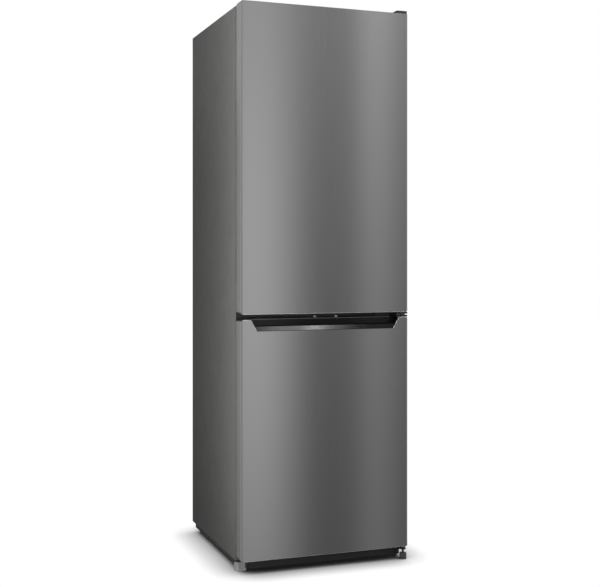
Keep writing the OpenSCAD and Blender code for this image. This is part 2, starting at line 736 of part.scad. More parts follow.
// Tubes in the bay: suction, discharge and liquid lines
pipe_r = 3;
module refrigerant_pipes() {
    color("#b8734a") {
        difference() {
            union() {
                pipe([[can_x - can_r + 10, can_y, can_z + 40], [can_x - can_r - 40, can_y, can_z + 40],
                    [can_x - can_r - 40, can_y, bay_z1 - 50], [can_x - can_r - 40, bay_y0 + 12, bay_z1 - 50],
                    [can_x - can_r - 40, bay_y0 + 12, bay_z1]], pipe_r);
                pipe([[can_x - can_r + 10, can_y + 24, can_z + 30],
                    [can_x - can_r - 60, can_y + 24, can_z + 30],
                    [can_x - can_r - 60, can_y + 24, foam_z0 + 12],
                    [-x1 + sheet_t + 14, can_y + 24, foam_z0 + 12],
                    [-x1 + sheet_t + 14, bay_y0 + 12, foam_z0 + 12],
                    [-x1 + sheet_t + 14, bay_y0 + 12, bay_z1]],
                    pipe_r);
            }
            translate([can_x, can_y, can_z]) cylinder(r = can_r, h = can_h);
        }
        pipe([[dry_x, dry_y, dry_z - 10], [dry_x, dry_y, dry_z - 40], [x1 - sheet_t - 14, dry_y, dry_z - 40],
            [x1 - sheet_t - 14, dry_y, bay_z1]], pipe_r);
        pipe([[dry_x, dry_y, dry_z + 100], [dry_x, dry_y, bay_z1 - 20], [dry_x, bay_y0 + 12, bay_z1 - 20],
            [dry_x, bay_y0 + 12, bay_z1]], 2);
    }
}

// Evaporation tray over the compressor's warm top, held under the roof of the bay by two rails
tray_z0 = can_z + can_h + 4;
module drip_tray() {
    tx = [can_x - can_r, can_x + can_r];
    ty = [can_y - can_r + 4, can_y + can_r - 10];
    tz = [tray_z0, tray_z0 + 28];
    color("#d9dadb") {
        difference() {
            up_z(tz) round_rect(tx, ty, 12);
            up_z([tz[0] + 2.5, tz[1] + e])
                round_rect([tx[0] + 2.5, tx[1] - 2.5], [ty[0] + 2.5, ty[1] - 2.5], 9.5);
        }
        for (x = [tx[0] - 6, tx[1] - 2.5])
            block([x, x + 8.5], [ty[0] + 20, ty[1] - 20], [tz[1] - 8, tz[1]]);
        for (x = [tx[0] - 6, tx[1] + 3])
            block([x, x + 3], [ty[0] + 20, ty[1] - 20], [tz[1] - 8, bay_z1]);
    }
}

// Rear cover of the compressor bay with a field of air slots
module compressor_cover() {
    w = x1 - sheet_t - 1;
    slot_pitch = (2 * w - 80) / bay_slots;
    color("#8f9192") difference() {
        block([-w, w], [y1 - back_inset - 1.2, y1 - back_inset], [foam_z0, bay_z1]);
        for (i = [0 : bay_slots - 1], k = [0, 1]) {
            sx = -w + 40 + slot_pitch * (i + 0.5);
            if (sx < gland_x - 24 || sx > gland_x + 24 || k == 1)
                along_y([y1 - back_inset - 3, y1]) stadium([sx - 3, sx + 3],
                    [foam_z0 + 20 + k * (bay_h / 2 - 6),
                    foam_z0 + 20 + k * (bay_h / 2 - 6) + bay_h / 2 - 30]);
        }
        translate([gland_x, y1 - back_inset - 3, gland_z]) rotate([-90, 0, 0]) cylinder(r = 8, h = 6);
    }
}

// Cable gland in the rear cover: a bush with a collar on both sides of the sheet
gland_x = x1 / 3;
gland_z = foam_z0 + 50;
gland_bore = 4.2;
module mains_gland() {
    color("#151515") translate([gland_x, y1 - back_inset, gland_z]) rotate([90, 0, 0]) difference() {
        union() {
            translate([0, 0, 1.2]) cylinder(r = 11, h = 4);
            translate([0, 0, -0.01]) cylinder(r = 7.95, h = 1.3);
            translate([0, 0, -1.9]) cylinder(r = 11, h = 1.9);
        }
        translate([0, 0, -3]) cylinder(r = gland_bore, h = 12);
    }
}

// Glass shelves on the liner's ledges
module glass_shelves() {
    color([0.80, 0.90, 0.88, 0.45]) for (i = [1 : shelf_count])
        block([-shelf_x, shelf_x], [shelf_y0 + 4, shelf_y1 - 4], [shelf_z(i), shelf_z(i) + glass_t]);
}

// Front and rear trims that grip the edges of each shelf
module shelf_trim(z, y, front) {
    d = 14;
    a = front ? y : y - d;
    difference() {
        along_x([-shelf_x, shelf_x]) round_rect([a, a + d], [z - 3, z + glass_t + 3], 2.5);
        block([-shelf_x - e, shelf_x + e], front ? [y + 4, y + d + e] : [y - d - e, y - 4], [z, z + glass_t]);
        for (s = [-1, 1]) block(s > 0 ? [in_x - ledge_w - 1, in_x] : [-in_x, -in_x + ledge_w + 1],
            [a - e, a + d + e], [z - 4, z]);
    }
}
module shelf_trims() {
    color("#d5d7d8") for (i = [1 : shelf_count]) {
        shelf_trim(shelf_z(i), shelf_y0, true);
        shelf_trim(shelf_z(i), shelf_y1, false);
    }
}

// Glass lid of the crisper
module crisper_cover() {
    color([0.80, 0.90, 0.88, 0.45])
        block([-shelf_x, shelf_x], [shelf_y0, shelf_y1], [cover_z, cover_z + glass_t]);
}

// Tray with a flat floor, straight walls and an open top
module tray(x, y, z, r) {
    difference() {
        up_z(z) round_rect(x, y, r);
        up_z([z[0] + tray_t, z[1] + e])
            round_rect([x[0] + tray_t, x[1] - tray_t], [y[0] + tray_t, y[1] - tray_t], r - tray_t);
    }
}

// Crisper drawer, with a grip rail along its front
module crisper_drawer() {
    w = in_x - ledge_w - drawer_gap;
    fy = shelf_y0 + 2;
    color([0.86, 0.90, 0.92, 0.7]) {
        tray([-w, w], [fy, shelf_y1 - 2], [crisper_z0, crisper_z1], 8);
        along_x([-w * 0.6, w * 0.6]) polygon([
            [fy + 0.5, crisper_z1 - 4], [fy - 12, crisper_z1 - 4], [fy - 12, crisper_z1 - 16],
            [fy - 9.5, crisper_z1 - 16], [fy - 9.5, crisper_z1 - 6.5], [fy + 0.5, crisper_z1 - 6.5]
        ]);
    }
}

// Lamp lens in the roof of the fridge
module lamp_lens() {
    color([0.95, 0.96, 0.93, 0.8]) difference() {
        up_z([in_z1 - 7, in_z1]) round_rect([-60, 60], [shelf_y0 + 40, shelf_y0 + 90], 8);
        up_z([in_z1 - 5.5, in_z1 + e]) round_rect([-58, 58], [shelf_y0 + 42, shelf_y0 + 88], 6);
    }
}

// Control housing in the roof, behind the top of the door frame, with a boss for the dial
ctrl_y = [cab_y0 + upper_dike_p + ctrl_gap, cab_y0 + upper_dike_p + ctrl_gap + ctrl_d];
dial_y = (ctrl_y[0] + ctrl_y[1]) / 2;
module control_housing() {
    color("#eceded") difference() {
        along_x([-ctrl_w / 2, ctrl_w / 2]) polygon([
            [ctrl_y[0], in_z1], [ctrl_y[0], in_z1 - ctrl_h + 8], [ctrl_y[0] + 14, in_z1 - ctrl_h],
            [ctrl_y[1], in_z1 - ctrl_h], [ctrl_y[1], in_z1]
        ]);
        translate([0, dial_y, in_z1 - ctrl_h - e]) cylinder(r = dial_r + 1, h = 5 + e);
        translate([0, dial_y, in_z1 - ctrl_h - e]) cylinder(r = 4 + pin_fit, h = 16);
    }
}

// Temperature dial: knurled rim, grip bar and a shaft in the housing
module temperature_dial() {
    z = in_z1 - ctrl_h;
    color("#c3c5c6") translate([0, dial_y, 0]) {
        difference() {
            translate([0, 0, z - 5]) cylinder(r = dial_r, h = 9);
            for (i = [0 : 23]) rotate(i * 15) translate([dial_r + 0.6, 0, z - 6]) cylinder(r = 1.2, h = 7);
        }
        block([-2.5, 2.5], [-dial_r + 3, dial_r - 3], [z - 9, z - 4]);
        translate([0, 0, z + 3]) cylinder(r = 4, h = 10);
    }
}

// Duct section seen from above, with chamfered front corners, inset by s
duct_t = 2.5;
duct_c = 8;
module duct_profile(s) {
    w = duct_w / 2 - s;
    f = in_y - duct_d + s;
    back = in_y + (s > 0 ? e : 0);
    polygon([[-w, back], [-w, f + duct_c], [-w + duct_c, f], [w - duct_c, f], [w, f + duct_c], [w, back]]);
}

// Air duct cover on the back wall, with outlet slots at every shelf level
module air_duct_cover() {
    z = [cover_z + glass_t + 12, in_z1 - 30];
    color("#e9eaea") difference() {
        up_z(z) difference() {
            duct_profile(0);
            duct_profile(duct_t);
        }
        for (i = [0 : shelf_count], k = [0 : 2])
            along_y([in_y - duct_d - e, in_y - duct_d + duct_t + e]) stadium([-duct_w / 3, duct_w / 3],
                [shelf_z(i) + shelf_pitch - 66 + k * 10, shelf_z(i) + shelf_pitch - 62 + k * 10]);
    }
}

// Evaporator cover: rear wall of the freezer space, with a return grille below and outlets above
fan_z = frz_in_z1 - fan_r - 16;
module evaporator_cover() {
    z = [step_z + liner_t + 24, frz_in_z1];
    color("#dfe1e2") difference() {
        along_y([evap_y0, evap_y0 + evap_cover_t]) round_rect([-in_x, in_x], z, liner_r);
        for (i = [0 : 17]) along_y([evap_y0 - e, evap_y0 + 5]) {
            sx = (i - 8.5) * floor((2 * in_x - 80) / 17);
            stadium([sx - 4, sx + 4], [z[0] + 18, z[0] + 54]);
        }
        for (i = [0 : 5]) along_y([evap_y0 - e, evap_y0 + 5])
            stadium([-fan_r, fan_r], [fan_z - 34 + i * 13, fan_z - 29 + i * 13]);
    }
}

// Evaporator: one serpentine tube through a stack of fins
evap_z = step_z + liner_t + 72;
evap_half = in_x - 62;
evap_my = evap_y0 + evap_cover_t + (in_y - evap_y0 - evap_cover_t) / 2;
module evaporator() {
    fin_pitch = 2 * (evap_half - 8) / (fin_count - 1);
    color("#b9bec2") {
        for (i = [0 : pass_count - 1]) {
            z = evap_z + i * pass_pitch;
            bar([-evap_half, evap_my, z], [evap_half, evap_my, z], tube_r);
            if (i < pass_count - 1)
                translate([i % 2 == 0 ? evap_half : -evap_half, evap_my, z + pass_pitch / 2])
                rotate([90, i % 2 == 0 ? 90 : -90, 0]) rotate_extrude(angle = 180)
                    translate([pass_pitch / 2, 0]) circle(tube_r, $fn = 32);
        }
        for (i = [0 : fin_count - 1]) {
            x = -evap_half + 8 + i * fin_pitch;
            block([x - 0.5, x + 0.5], [evap_my - 19, evap_my + 19],
                [evap_z - 13, evap_z + (pass_count - 1) * pass_pitch + 13]);
        }
        for (s = [-1, 1]) block([s * (evap_half - 8) - 2, s * (evap_half - 8) + 2],
            [evap_my - 10, in_y], [evap_z + pass_pitch, evap_z + pass_pitch + 10]);
    }
}

// Fan motor on a three-legged spider that stands on the rear wall
fan_y = evap_y0 + evap_cover_t + 8;
module fan_motor() {
    color("#3d3e3f") {
        translate([0, fan_y + 20, fan_z]) rotate([-90, 0, 0]) {
            cylinder(r = 17, h = 14);
            translate([0, 0, -16]) cylinder(r = 2, h = 18);
        }
        for (a = [90, 210, 330]) translate([0, fan_y + 30, fan_z]) rotate([0, a, 0]) {
            block([8, 40], [-3, 1], [-3, 3]);
            block([34, 40], [-3, in_y - fan_y - 30], [-3, 3]);
        }
    }
}

// Axial fan: hub and pitched blades trimmed to a round rim
module air_fan() {
    color("#cfd1d2") translate([0, fan_y, fan_z]) rotate([-90, 0, 0]) difference() {
        union() {
            cylinder(r = 14, h = 15);
            intersection() {
                cylinder(r = fan_r, h = 15);
                for (i = [0 : blade_count - 1]) rotate(i * 360 / blade_count) translate([12, 0, 7.5])
                    rotate([32, 0, 0]) translate([0, -12, -0.8]) cube([fan_r, 24, 1.6]);
            }
        }
        translate([0, 0, 3]) cylinder(r = 2 + pin_fit, h = 14);
    }
}

// Glass shelves between the freezer drawers
module freezer_shelves() {
    color([0.80, 0.90, 0.88, 0.45]) {
        block([-shelf_x, shelf_x], [frz_front + 6, evap_y0 - 6], [frz_shelf_z[1], frz_shelf_z[1] + glass_t]);
        block([-shelf_x, shelf_x], [frz_front + 6, step_y - liner_t],
            [frz_shelf_z[0], frz_shelf_z[0] + glass_t]);
    }
}

// Freezer drawer: tray with a taller front panel and a pull along its top
module freezer_drawer(z, y_end, w) {
    color([0.80, 0.88, 0.93, 0.65]) {
        tray([-w, w], [frz_front + tray_t, y_end], [z[0], z[1] - 22], 8);
        difference() {
            along_y([frz_front, frz_front + tray_t + 1]) round_rect([-w - 1, w + 1], [z[0], z[1]], 8);
            along_y([frz_front - e, frz_front + 6]) stadium([-w * 0.35, w * 0.35], [z[1] - 17, z[1] - 7]);
        }
        along_x([-w * 0.4, w * 0.4]) polygon([
            [frz_front + 3, z[1] - 20], [frz_front + 3, z[1] - 23], [frz_front + 16, z[1] - 23],
            [frz_front + 16, z[1] - 20]
        ]);
    }
}
frz_w = in_x - ledge_w - drawer_gap - 1;
module freezer_drawer_1() {
    freezer_drawer([frz_in_z0 + drawer_gap, frz_shelf_z[0] - ledge_h - drawer_gap],
        step_y - liner_t - 2, frz_w);
}
module freezer_drawer_2() {
    freezer_drawer([frz_shelf_z[0] + glass_t + slip, frz_shelf_z[1] - ledge_h - drawer_gap],
        evap_y0 - 4, frz_w);
}
module freezer_drawer_3() {
    freezer_drawer([frz_shelf_z[1] + glass_t + slip, frz_in_z1 - 6], evap_y0 - 4, frz_w);
}

// Door outline seen from above, inset by s at the front and sides
module door_plan(s) {
    r = door_edge_r - s;
    translate([-x1 + s, y0 + door_edge_r]) square([2 * x1 - 2 * s, door_t - door_edge_r]);
    translate([-x1 + door_edge_r, y0 + s]) square([2 * x1 - 2 * door_edge_r, door_edge_r]);
    for (x = [-x1 + door_edge_r, x1 - door_edge_r]) translate([x, y0 + door_edge_r]) circle(r);
}

// Body of the door seen from the front, with its round corners
module door_face(z) {
    along_y([y0 - e, door_y1 + e]) round_rect([-x1, x1], z, door_corner_r);
}

// Steel skin: front and sides in one bent sheet with a return along both rear edges
module door_skin(z) {
    intersection() {
        up_z(z) difference() {
            union() {
                difference() {
                    door_plan(0);
                    door_plan(sheet_t);
                }
                for (x = [-x1, x1 - return_w]) translate([x, door_y1 - sheet_t]) square([return_w, sheet_t]);
            }
        }
        door_face(z);
    }
}

// Foam core with the filling of the raised frame
module door_core(z, dz, p) {
    up_z([z[0] + cap_h, z[1] - cap_h]) intersection() {
        door_plan(sheet_t);
        translate([-x1, y0]) square([2 * x1, door_t - liner_t]);
    }
    difference() {
        block([-dike_x + liner_t, dike_x - liner_t], [door_y1 - liner_t - 0.01, door_y1 + p - liner_t],
            [dz[0] + liner_t, dz[1] - liner_t]);
        block([-dike_in - liner_t, dike_in + liner_t], [door_y1 - liner_t - 1, door_y1 + p],
            [dz[0] + dike_w - liner_t, dz[1] - dike_w + liner_t]);
    }
}

// Moulded inner panel: flat border for the gasket and a raised frame around a recess
module door_liner(z, dz, p) {
    difference() {
        union() {
            block([-x1 + sheet_t, x1 - sheet_t], [door_y1 - liner_t, door_y1], [z[0] + cap_h, z[1] - cap_h]);
            difference() {
                block([-dike_x, dike_x], [door_y1 - liner_t, door_y1 + p], dz);
                block([-dike_in, dike_in], [door_y1, door_y1 + p + e], [dz[0] + dike_w, dz[1] - dike_w]);
            }
        }
        difference() {
            block([-dike_x + liner_t, dike_x - liner_t], [door_y1 - liner_t - e, door_y1 + p - liner_t],
                [dz[0] + liner_t, dz[1] - liner_t]);
            block([-dike_in - liner_t, dike_in + liner_t], [door_y1 - liner_t - 2, door_y1 + p],
                [dz[0] + dike_w - liner_t, dz[1] - dike_w + liner_t]);
        }
        for (x = [-x1, x1 - return_w]) block([x, x + return_w], [door_y1 - sheet_t, door_y1 + e],
            [z[0], z[1]]);
    }
}

// Rectangular ring of one gasket layer: outer inset a, width w, between two depths
module seal_ring(x, z, a, w, y) {
    along_y(y) difference() {
        round_rect([-x + a, x - a], [z[0] + a, z[1] - a], 6);
        round_rect([-x + a + w, x - a - w], [z[0] + a + w, z[1] - a - w], 4);
    }
}

// Gasket: foot in the liner's border, a bellows of two walls and the magnet bar that meets the cabinet
module gasket(z) {
    x = x1 - seal_inset;
    color("#2e2f30") {
        seal_ring(x, z, 1, seal_w - 2, [door_y1, door_y1 + 2]);
        seal_ring(x, z, 2, 1.6, [door_y1 + 1.5, cab_y0 - 3]);
        seal_ring(x, z, seal_w - 3.6, 1.6, [door_y1 + 1.5, cab_y0 - 3]);
        seal_ring(x, z, 0, seal_w, [cab_y0 - 3.6, cab_y0 - 0.25]);
    }
}

// Plastic end cap, cut clear of the skin's returns, with a seat for a bush of radius r
module door_cap(z, face_z, r) {
    difference() {
        intersection() {
            up_z(z) door_plan(sheet_t);
            door_face(face_z);
        }
        for (x = [-x1, x1 - return_w]) block([x, x + return_w], [door_y1 - sheet_t, door_y1 + e],
            [z[0] - e, z[1] + e]);
        translate([hinge_x, hinge_y, z[0] - e]) cylinder(r = r, h = z[1] - z[0] + 2 * e);
    }
}

// Bush of height cap_h with a bore for a pin of radius r
module bush(z0, r) {
    translate([hinge_x, hinge_y, z0]) difference() {
        cylinder(r = r + pin_fit + bush_wall, h = cap_h);
        translate([0, 0, -e]) cylinder(r = r + pin_fit, h = cap_h + 2 * e);
    }
}
bush_r = pin_r + pin_fit + bush_wall;
low_bush_wall = min(bush_wall, hinge_back - door_edge_r / 4 - sheet_t - hollow_pin_r - pin_fit - 0.4);

// Upper door
up_seal_z = [up_z0 + seal_inset_z, cab_z1 - seal_inset_z + 1];
module upper_door_skin() color("#7d7e7f") door_skin([up_z0, up_z1]);
module upper_door_core() color("#e8dfc4") door_core([up_z0, up_z1], up_dike_z, upper_dike_p);
module upper_door_liner() color("#f1f2f2") door_liner([up_z0, up_z1], up_dike_z, upper_dike_p);
module upper_door_gasket() gasket(up_seal_z);
module upper_door_caps() {
    color("#1d1e1f") {
        door_cap([up_z1 - cap_h, up_z1], [up_z0, up_z1], bush_r);
        difference() {
            door_cap([up_z0, up_z0 + cap_h], [up_z0, up_z1], bush_r);
            up_z([up_z0 - e, up_z0 + cap_h - 3])
                round_rect([-x1 + grip_in_top, x1 - grip_in_low], [y0 + 14, y0 + 14 + pocket_d * 0.8], 6);
        }
    }
}
module upper_door_bushes() {
    color("#d9d9d6") {
        bush(up_z0, pin_r);
        bush(up_z1 - cap_h, pin_r);
    }
}

// Door shelf: open tray with a higher front, hooked on lugs at both ends
module door_bin(z0, h) {
    color([0.84, 0.91, 0.93, 0.6]) {
        difference() {
            up_z([z0, z0 + h]) round_rect([-bin_x, bin_x], [door_y1 + 1, bin_y1], 12);
            up_z([z0 + tray_t, z0 + h + e]) round_rect([-bin_x + tray_t, bin_x - tray_t],
                [door_y1 + 1 + tray_t, bin_y1 - tray_t], 12 - tray_t);
            along_x([-bin_x - e, bin_x + e]) polygon([
                [door_y1, z0 + h * 0.6], [door_y1 + bin_d * 0.3, z0 + h * 0.6],
                [door_y1 + bin_d * 0.55, z0 + h + e], [door_y1, z0 + h + e]
            ]);
        }
        for (s = [-1, 1]) block(s > 0 ? [bin_x - 0.5, dike_in] : [-dike_in, -bin_x + 0.5],
            [door_y1 + 14, door_y1 + upper_dike_p - 4], [z0 + 12, z0 + h * 0.55]);
    }
}
bin_step = (up_dike_z[1] - 60 - (up_dike_z[0] + dike_w + bottle_bin_h)) / 3;
function bin_z(i) = up_dike_z[0] + dike_w + bottle_bin_h + bin_step * (i - 1) + 70;
module door_bin_1() door_bin(bin_z(1), bin_h);
module door_bin_2() door_bin(bin_z(2), bin_h);
module door_bin_3() door_bin(bin_z(3), bin_h);
module bottle_bin() door_bin(up_dike_z[0] + dike_w + 4, bottle_bin_h);

// Lower door: the grip opening is a trapezoid cut into the top edge of its skin
low_seal_z = [low_z0 + seal_inset_z + 7, low_z1 - seal_inset_z];
module grip_outline(g, drop) {
    slope = (grip_in_low - grip_in_top) / grip_h;
    polygon([
        [-x1 + grip_in_top - g - slope, low_z1 + 1], [x1 - grip_in_top + g + slope, low_z1 + 1],
        [x1 - grip_in_low + g - slope * drop, low_z1 - grip_h - drop],
        [-x1 + grip_in_low - g + slope * drop, low_z1 - grip_h - drop]
    ]);
}
module grip_body() {
    along_y([y0 + sheet_t, y0 + grip_lip_t + pocket_d + grip_wall])
        grip_outline(grip_wall, pocket_drop + grip_wall);
}
module lower_door_skin() {
    color("#7d7e7f") difference() {
        door_skin([low_z0, low_z1]);
        along_y([y0 - e, y0 + sheet_t + 3]) grip_outline(0, 0);
    }
}
module lower_door_core() {
    color("#e8dfc4") difference() {
        door_core([low_z0, low_z1], low_dike_z, lower_dike_p);
        grip_body();
    }
}
module lower_door_liner() color("#f1f2f2") door_liner([low_z0, low_z1], low_dike_z, lower_dike_p);
module lower_door_gasket() gasket(low_seal_z);
module lower_door_caps() {
    color("#1d1e1f") {
        difference() {
            door_cap([low_z1 - cap_h, low_z1], [low_z0, low_z1], bush_r);
            grip_body();
        }
        door_cap([low_z0, low_z0 + cap_h], [low_z0, low_z1], hollow_pin_r + pin_fit + low_bush_wall);
    }
}
module lower_door_bushes() {
    color("#d9d9d6") {
        translate([hinge_x, hinge_y, low_z0]) difference() {
            cylinder(r = hollow_pin_r + pin_fit + low_bush_wall, h = cap_h);
            translate([0, 0, -e]) cylinder(r = hollow_pin_r + pin_fit, h = cap_h + 2 * e);
        }
        bush(low_z1 - cap_h, pin_r);
    }
}

// Grip moulding: a lip that leans back from the door's front, a finger pocket behind it and slanted ends
module grip_moulding() {
    z = [low_z1 - grip_h, low_z1 - grip_h + grip_lip_h];
    yr = [y0 + sheet_t, y0 + grip_lip_t, y0 + grip_lip_t + pocket_d];
    edge = 1.5;
    floor_z = z[0] - pocket_drop - 1;
    color("#141516") union() {
        difference() {
            intersection() {
                grip_body();
                block([-x1, x1], [y0, y1], [0, low_z1]);
            }
            along_y([y0, yr[2]]) grip_outline(0, pocket_drop);
        }
        intersection() {
            along_x([-x1, x1]) polygon([
                [yr[0], floor_z], [yr[0], z[0]], [y0, z[0]], [y0, z[0] + edge], [y0 + grip_lean, z[1]],
                [yr[1] + grip_lean - 1, z[1]], [yr[1] + grip_lean, z[1] - 1],
                [yr[1], z[0] + edge], [yr[1], floor_z]
            ]);
            union() {
                along_y([y0, yr[0]]) grip_outline(0, 0);
                along_y([yr[0], yr[2]]) grip_outline(1, pocket_drop + 1);
            }
        }
    }
}

cabinet_wrap();
back_panel();
base_pan();
cabinet_foam();
fridge_liner();
freezer_liner();
mullion_bar();
kick_plate();
top_hinge_bracket();
top_hinge_cover();
middle_hinge_bracket();
mullion_trim();
bottom_hinge_bracket();
hinge_screws();
roller_brackets();
compressor();
compressor_grommets();
relay_box();
refrigerant_pipes();
filter_dryer();
drip_tray();
compressor_cover();
mains_gland();
glass_shelves();
shelf_trims();
crisper_cover();
lamp_lens();
control_housing();
air_duct_cover();
evaporator_cover();
evaporator();
fan_motor();
freezer_shelves();
upper_door_skin();
upper_door_core();
upper_door_liner();
upper_door_gasket();
upper_door_caps();
upper_door_bushes();
door_bin_1();
door_bin_2();
door_bin_3();
bottle_bin();
lower_door_skin();
lower_door_core();
lower_door_liner();
lower_door_gasket();
lower_door_caps();
lower_door_bushes();
grip_moulding();
crisper_drawer();
freezer_drawer_1();
freezer_drawer_2();
freezer_drawer_3();
foot_left();
foot_right();
roller_left();
roller_right();
air_fan();
temperature_dial();
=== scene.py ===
# %% [markdown]
# # A tall fridge freezer in dark brushed steel
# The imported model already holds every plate, door, shelf and drawer in its place, in metres.
# This lesson gives each of them its finish, adds the small pieces that only show from close by,
# and sets up the floor, the light and the camera. Loading comes first, because every later
# piece takes its place from the loaded one, so nothing has to be fitted by eye.

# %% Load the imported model
import json
import bmesh
import bpy
import numpy as np
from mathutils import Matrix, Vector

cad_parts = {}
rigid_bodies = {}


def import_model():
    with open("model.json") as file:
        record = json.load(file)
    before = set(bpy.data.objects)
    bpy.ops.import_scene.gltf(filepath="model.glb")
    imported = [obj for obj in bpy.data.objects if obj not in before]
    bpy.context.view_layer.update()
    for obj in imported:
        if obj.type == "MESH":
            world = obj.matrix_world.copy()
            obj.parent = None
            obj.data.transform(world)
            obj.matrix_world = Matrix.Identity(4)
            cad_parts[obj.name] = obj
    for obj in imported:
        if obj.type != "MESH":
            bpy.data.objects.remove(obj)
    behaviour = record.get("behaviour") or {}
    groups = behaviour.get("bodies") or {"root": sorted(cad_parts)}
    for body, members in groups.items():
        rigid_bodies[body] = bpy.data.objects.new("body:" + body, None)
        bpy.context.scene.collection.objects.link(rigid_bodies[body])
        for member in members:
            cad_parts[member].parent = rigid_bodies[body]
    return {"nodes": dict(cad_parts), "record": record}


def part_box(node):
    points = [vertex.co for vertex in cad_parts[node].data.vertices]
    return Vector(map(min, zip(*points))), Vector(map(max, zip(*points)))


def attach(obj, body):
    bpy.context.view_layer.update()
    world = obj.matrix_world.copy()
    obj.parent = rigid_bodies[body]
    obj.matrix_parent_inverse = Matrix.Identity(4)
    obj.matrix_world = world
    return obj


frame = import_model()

scene = bpy.context.scene
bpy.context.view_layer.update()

# %% [markdown]
# ## Camera
# The photograph looks at the left front edge from about four metres, at chest height, with all
# upright edges parallel. A tilted camera would make them converge, so the camera stays level and
# its sensor is shifted instead, as on a view camera.

# %% Place the camera
eye = bpy.data.cameras.new("studio_camera")
eye.sensor_fit, eye.sensor_width, eye.lens = "HORIZONTAL", 36.0, 64.31
eye.shift_x, eye.shift_y = 0.0108, -0.0602
camera = bpy.data.objects.new("studio_camera", eye)
camera.location = (-1.3138, -3.6177, 1.0295)
camera.rotation_euler = (np.radians(90.0), 0.0, np.radians(-19.885))
scene.collection.objects.link(camera)
scene.camera = camera
scene.view_settings.view_transform = "Standard"
print("camera at", tuple(round(v, 3) for v in camera.location), "lens", eye.lens)

# %% [markdown]
# ## Small helpers for node trees
# A finish is a small graph of nodes. Writing each graph by hand takes dozens of lines, so two
# helpers add a node with its settings and join two sockets. Everything else stays plain.

# %% Node helpers
def add(tree, kind, links=(), **settings):
    """Adds a node, sets its attributes or unlinked inputs, and joins the given (input, socket) pairs."""
    node = tree.nodes.new(kind)
    for key, value in settings.items():
        if hasattr(node, key):
            setattr(node, key, value)
        else:
            node.inputs[key.replace("_", " ")].default_value = value
    for key, socket in links:
        tree.links.new(node.inputs[key], socket)
    return node


def arithmetic(tree, operation, a, b=0.0, c=None):
    """One Math node: a (operation) b, where each of them is a number or a socket."""
    node = tree.nodes.new("ShaderNodeMath")
    node.operation = operation
    for i, value in enumerate((a, b) if c is None else (a, b, c)):
        if isinstance(value, (int, float)):
            node.inputs[i].default_value = value
        else:
            tree.links.new(node.inputs[i], value)
    return node.outputs[0]


def remap(tree, value, low, high, to_low, to_high, smooth=True):
    """Carries value from low..high to to_low..to_high, eased at both ends, and clamps it there."""
    node = add(tree, "ShaderNodeMapRange", [("Value", value)],
               interpolation_type="SMOOTHSTEP" if smooth else "LINEAR")
    for key, number in (("From Min", low), ("From Max", high), ("To Min", to_low), ("To Max", to_high)):
        node.inputs[key].default_value = number
    return node.outputs["Result"]


def on_object(tree, scale=(1.0, 1.0, 1.0)):
    """Object coordinates stretched by scale, so a small scale along an axis makes long streaks there."""
    place = add(tree, "ShaderNodeTexCoord")
    return add(tree, "ShaderNodeMapping", [("Vector", place.outputs["Object"])], Scale=scale).outputs[0]


def speckle(tree, scale, size=(1.0, 1.0, 1.0), detail=2.0):
    """Noise from 0 to 1 on the object, with features about 1 / scale metres across."""
    return add(tree, "ShaderNodeTexNoise", [("Vector", on_object(tree, size))],
               Scale=scale, Detail=detail, Roughness=0.55).outputs["Fac"]


def blend_colors(tree, factor, first, second):
    """Mix of two colours by a 0..1 socket, where either may be a socket too."""
    node = tree.nodes.new("ShaderNodeMix")
    node.data_type = "RGBA"
    tree.links.new(node.inputs["Factor"], factor)
    for key, value in ((6, first), (7, second)):
        if isinstance(value, (tuple, list)):
            node.inputs[key].default_value = (*value[:3], 1.0)
        else:
            tree.links.new(node.inputs[key], value)
    return node.outputs[2]


def shell(name):
    """A new material with an empty tree, its surface shader and that shader's tree."""
    made = bpy.data.materials.new(name)
    made.use_nodes = True
    return made, made.node_tree, made.node_tree.nodes["Principled BSDF"]


def relief(tree, shader, height, depth):
    """Bump of that height socket, depth in metres at height 1, into the shader's normal."""
    bump = add(tree, "ShaderNodeBump", [("Height", height)], Strength=1.0, Distance=depth)
    tree.links.new(shader.inputs["Normal"], bump.outputs["Normal"])


print("node helpers ready")

# %% [markdown]
# ## Studio: white room, reflection cards
# A brushed door hardly shows its own colour: it shows a blurred picture of what stands in front
# of it. Product photographers hang tall cards and soft boxes there. The cards here give off light
# only into reflections, so they shape the steel without lighting or shading anything else. The
# bright box on the left, the dark gap and the dimmer box on the right become the bands on the doors.

# %% White room
room = bpy.data.worlds.new("white_room")
scene.world = room
room.use_nodes = True
sky = room.node_tree
sky.nodes.clear()
ray = add(sky, "ShaderNodeLightPath")
height = add(sky, "ShaderNodeSeparateXYZ", [(0, add(sky, "ShaderNodeTexCoord").outputs["Generated"])])
mirrored = remap(sky, height.outputs["Z"], -0.5, 0.9, 0.16, 0.62)
soft = add(sky, "ShaderNodeBackground", Strength=0.08, Color=(1.0, 1.0, 1.0, 1.0))
gloss = add(sky, "ShaderNodeBackground", [("Strength", mirrored)], Color=(0.98, 0.99, 1.0, 1.0))
seen = add(sky, "ShaderNodeBackground", Strength=1.0, Color=(1.0, 1.0, 1.0, 1.0))
lit = add(sky, "ShaderNodeMixShader", [(0, ray.outputs["Is Glossy Ray"]), (1, soft.outputs[0]), (2, gloss.outputs[0])])
final = add(sky, "ShaderNodeMixShader", [(0, ray.outputs["Is Camera Ray"]), (1, lit.outputs[0]), (2, seen.outputs[0])])
add(sky, "ShaderNodeOutputWorld", [("Surface", final.outputs[0])])
print("white room ready")

# %% [markdown]
# The floor glows faintly, so it stays white up to the horizon, and an occlusion node darkens it
# only where something stands within a hand's breadth. That is the narrow soft shadow of a studio
# shot. Its own light would also draw a pale band on the lower door, so reflections don't see it.

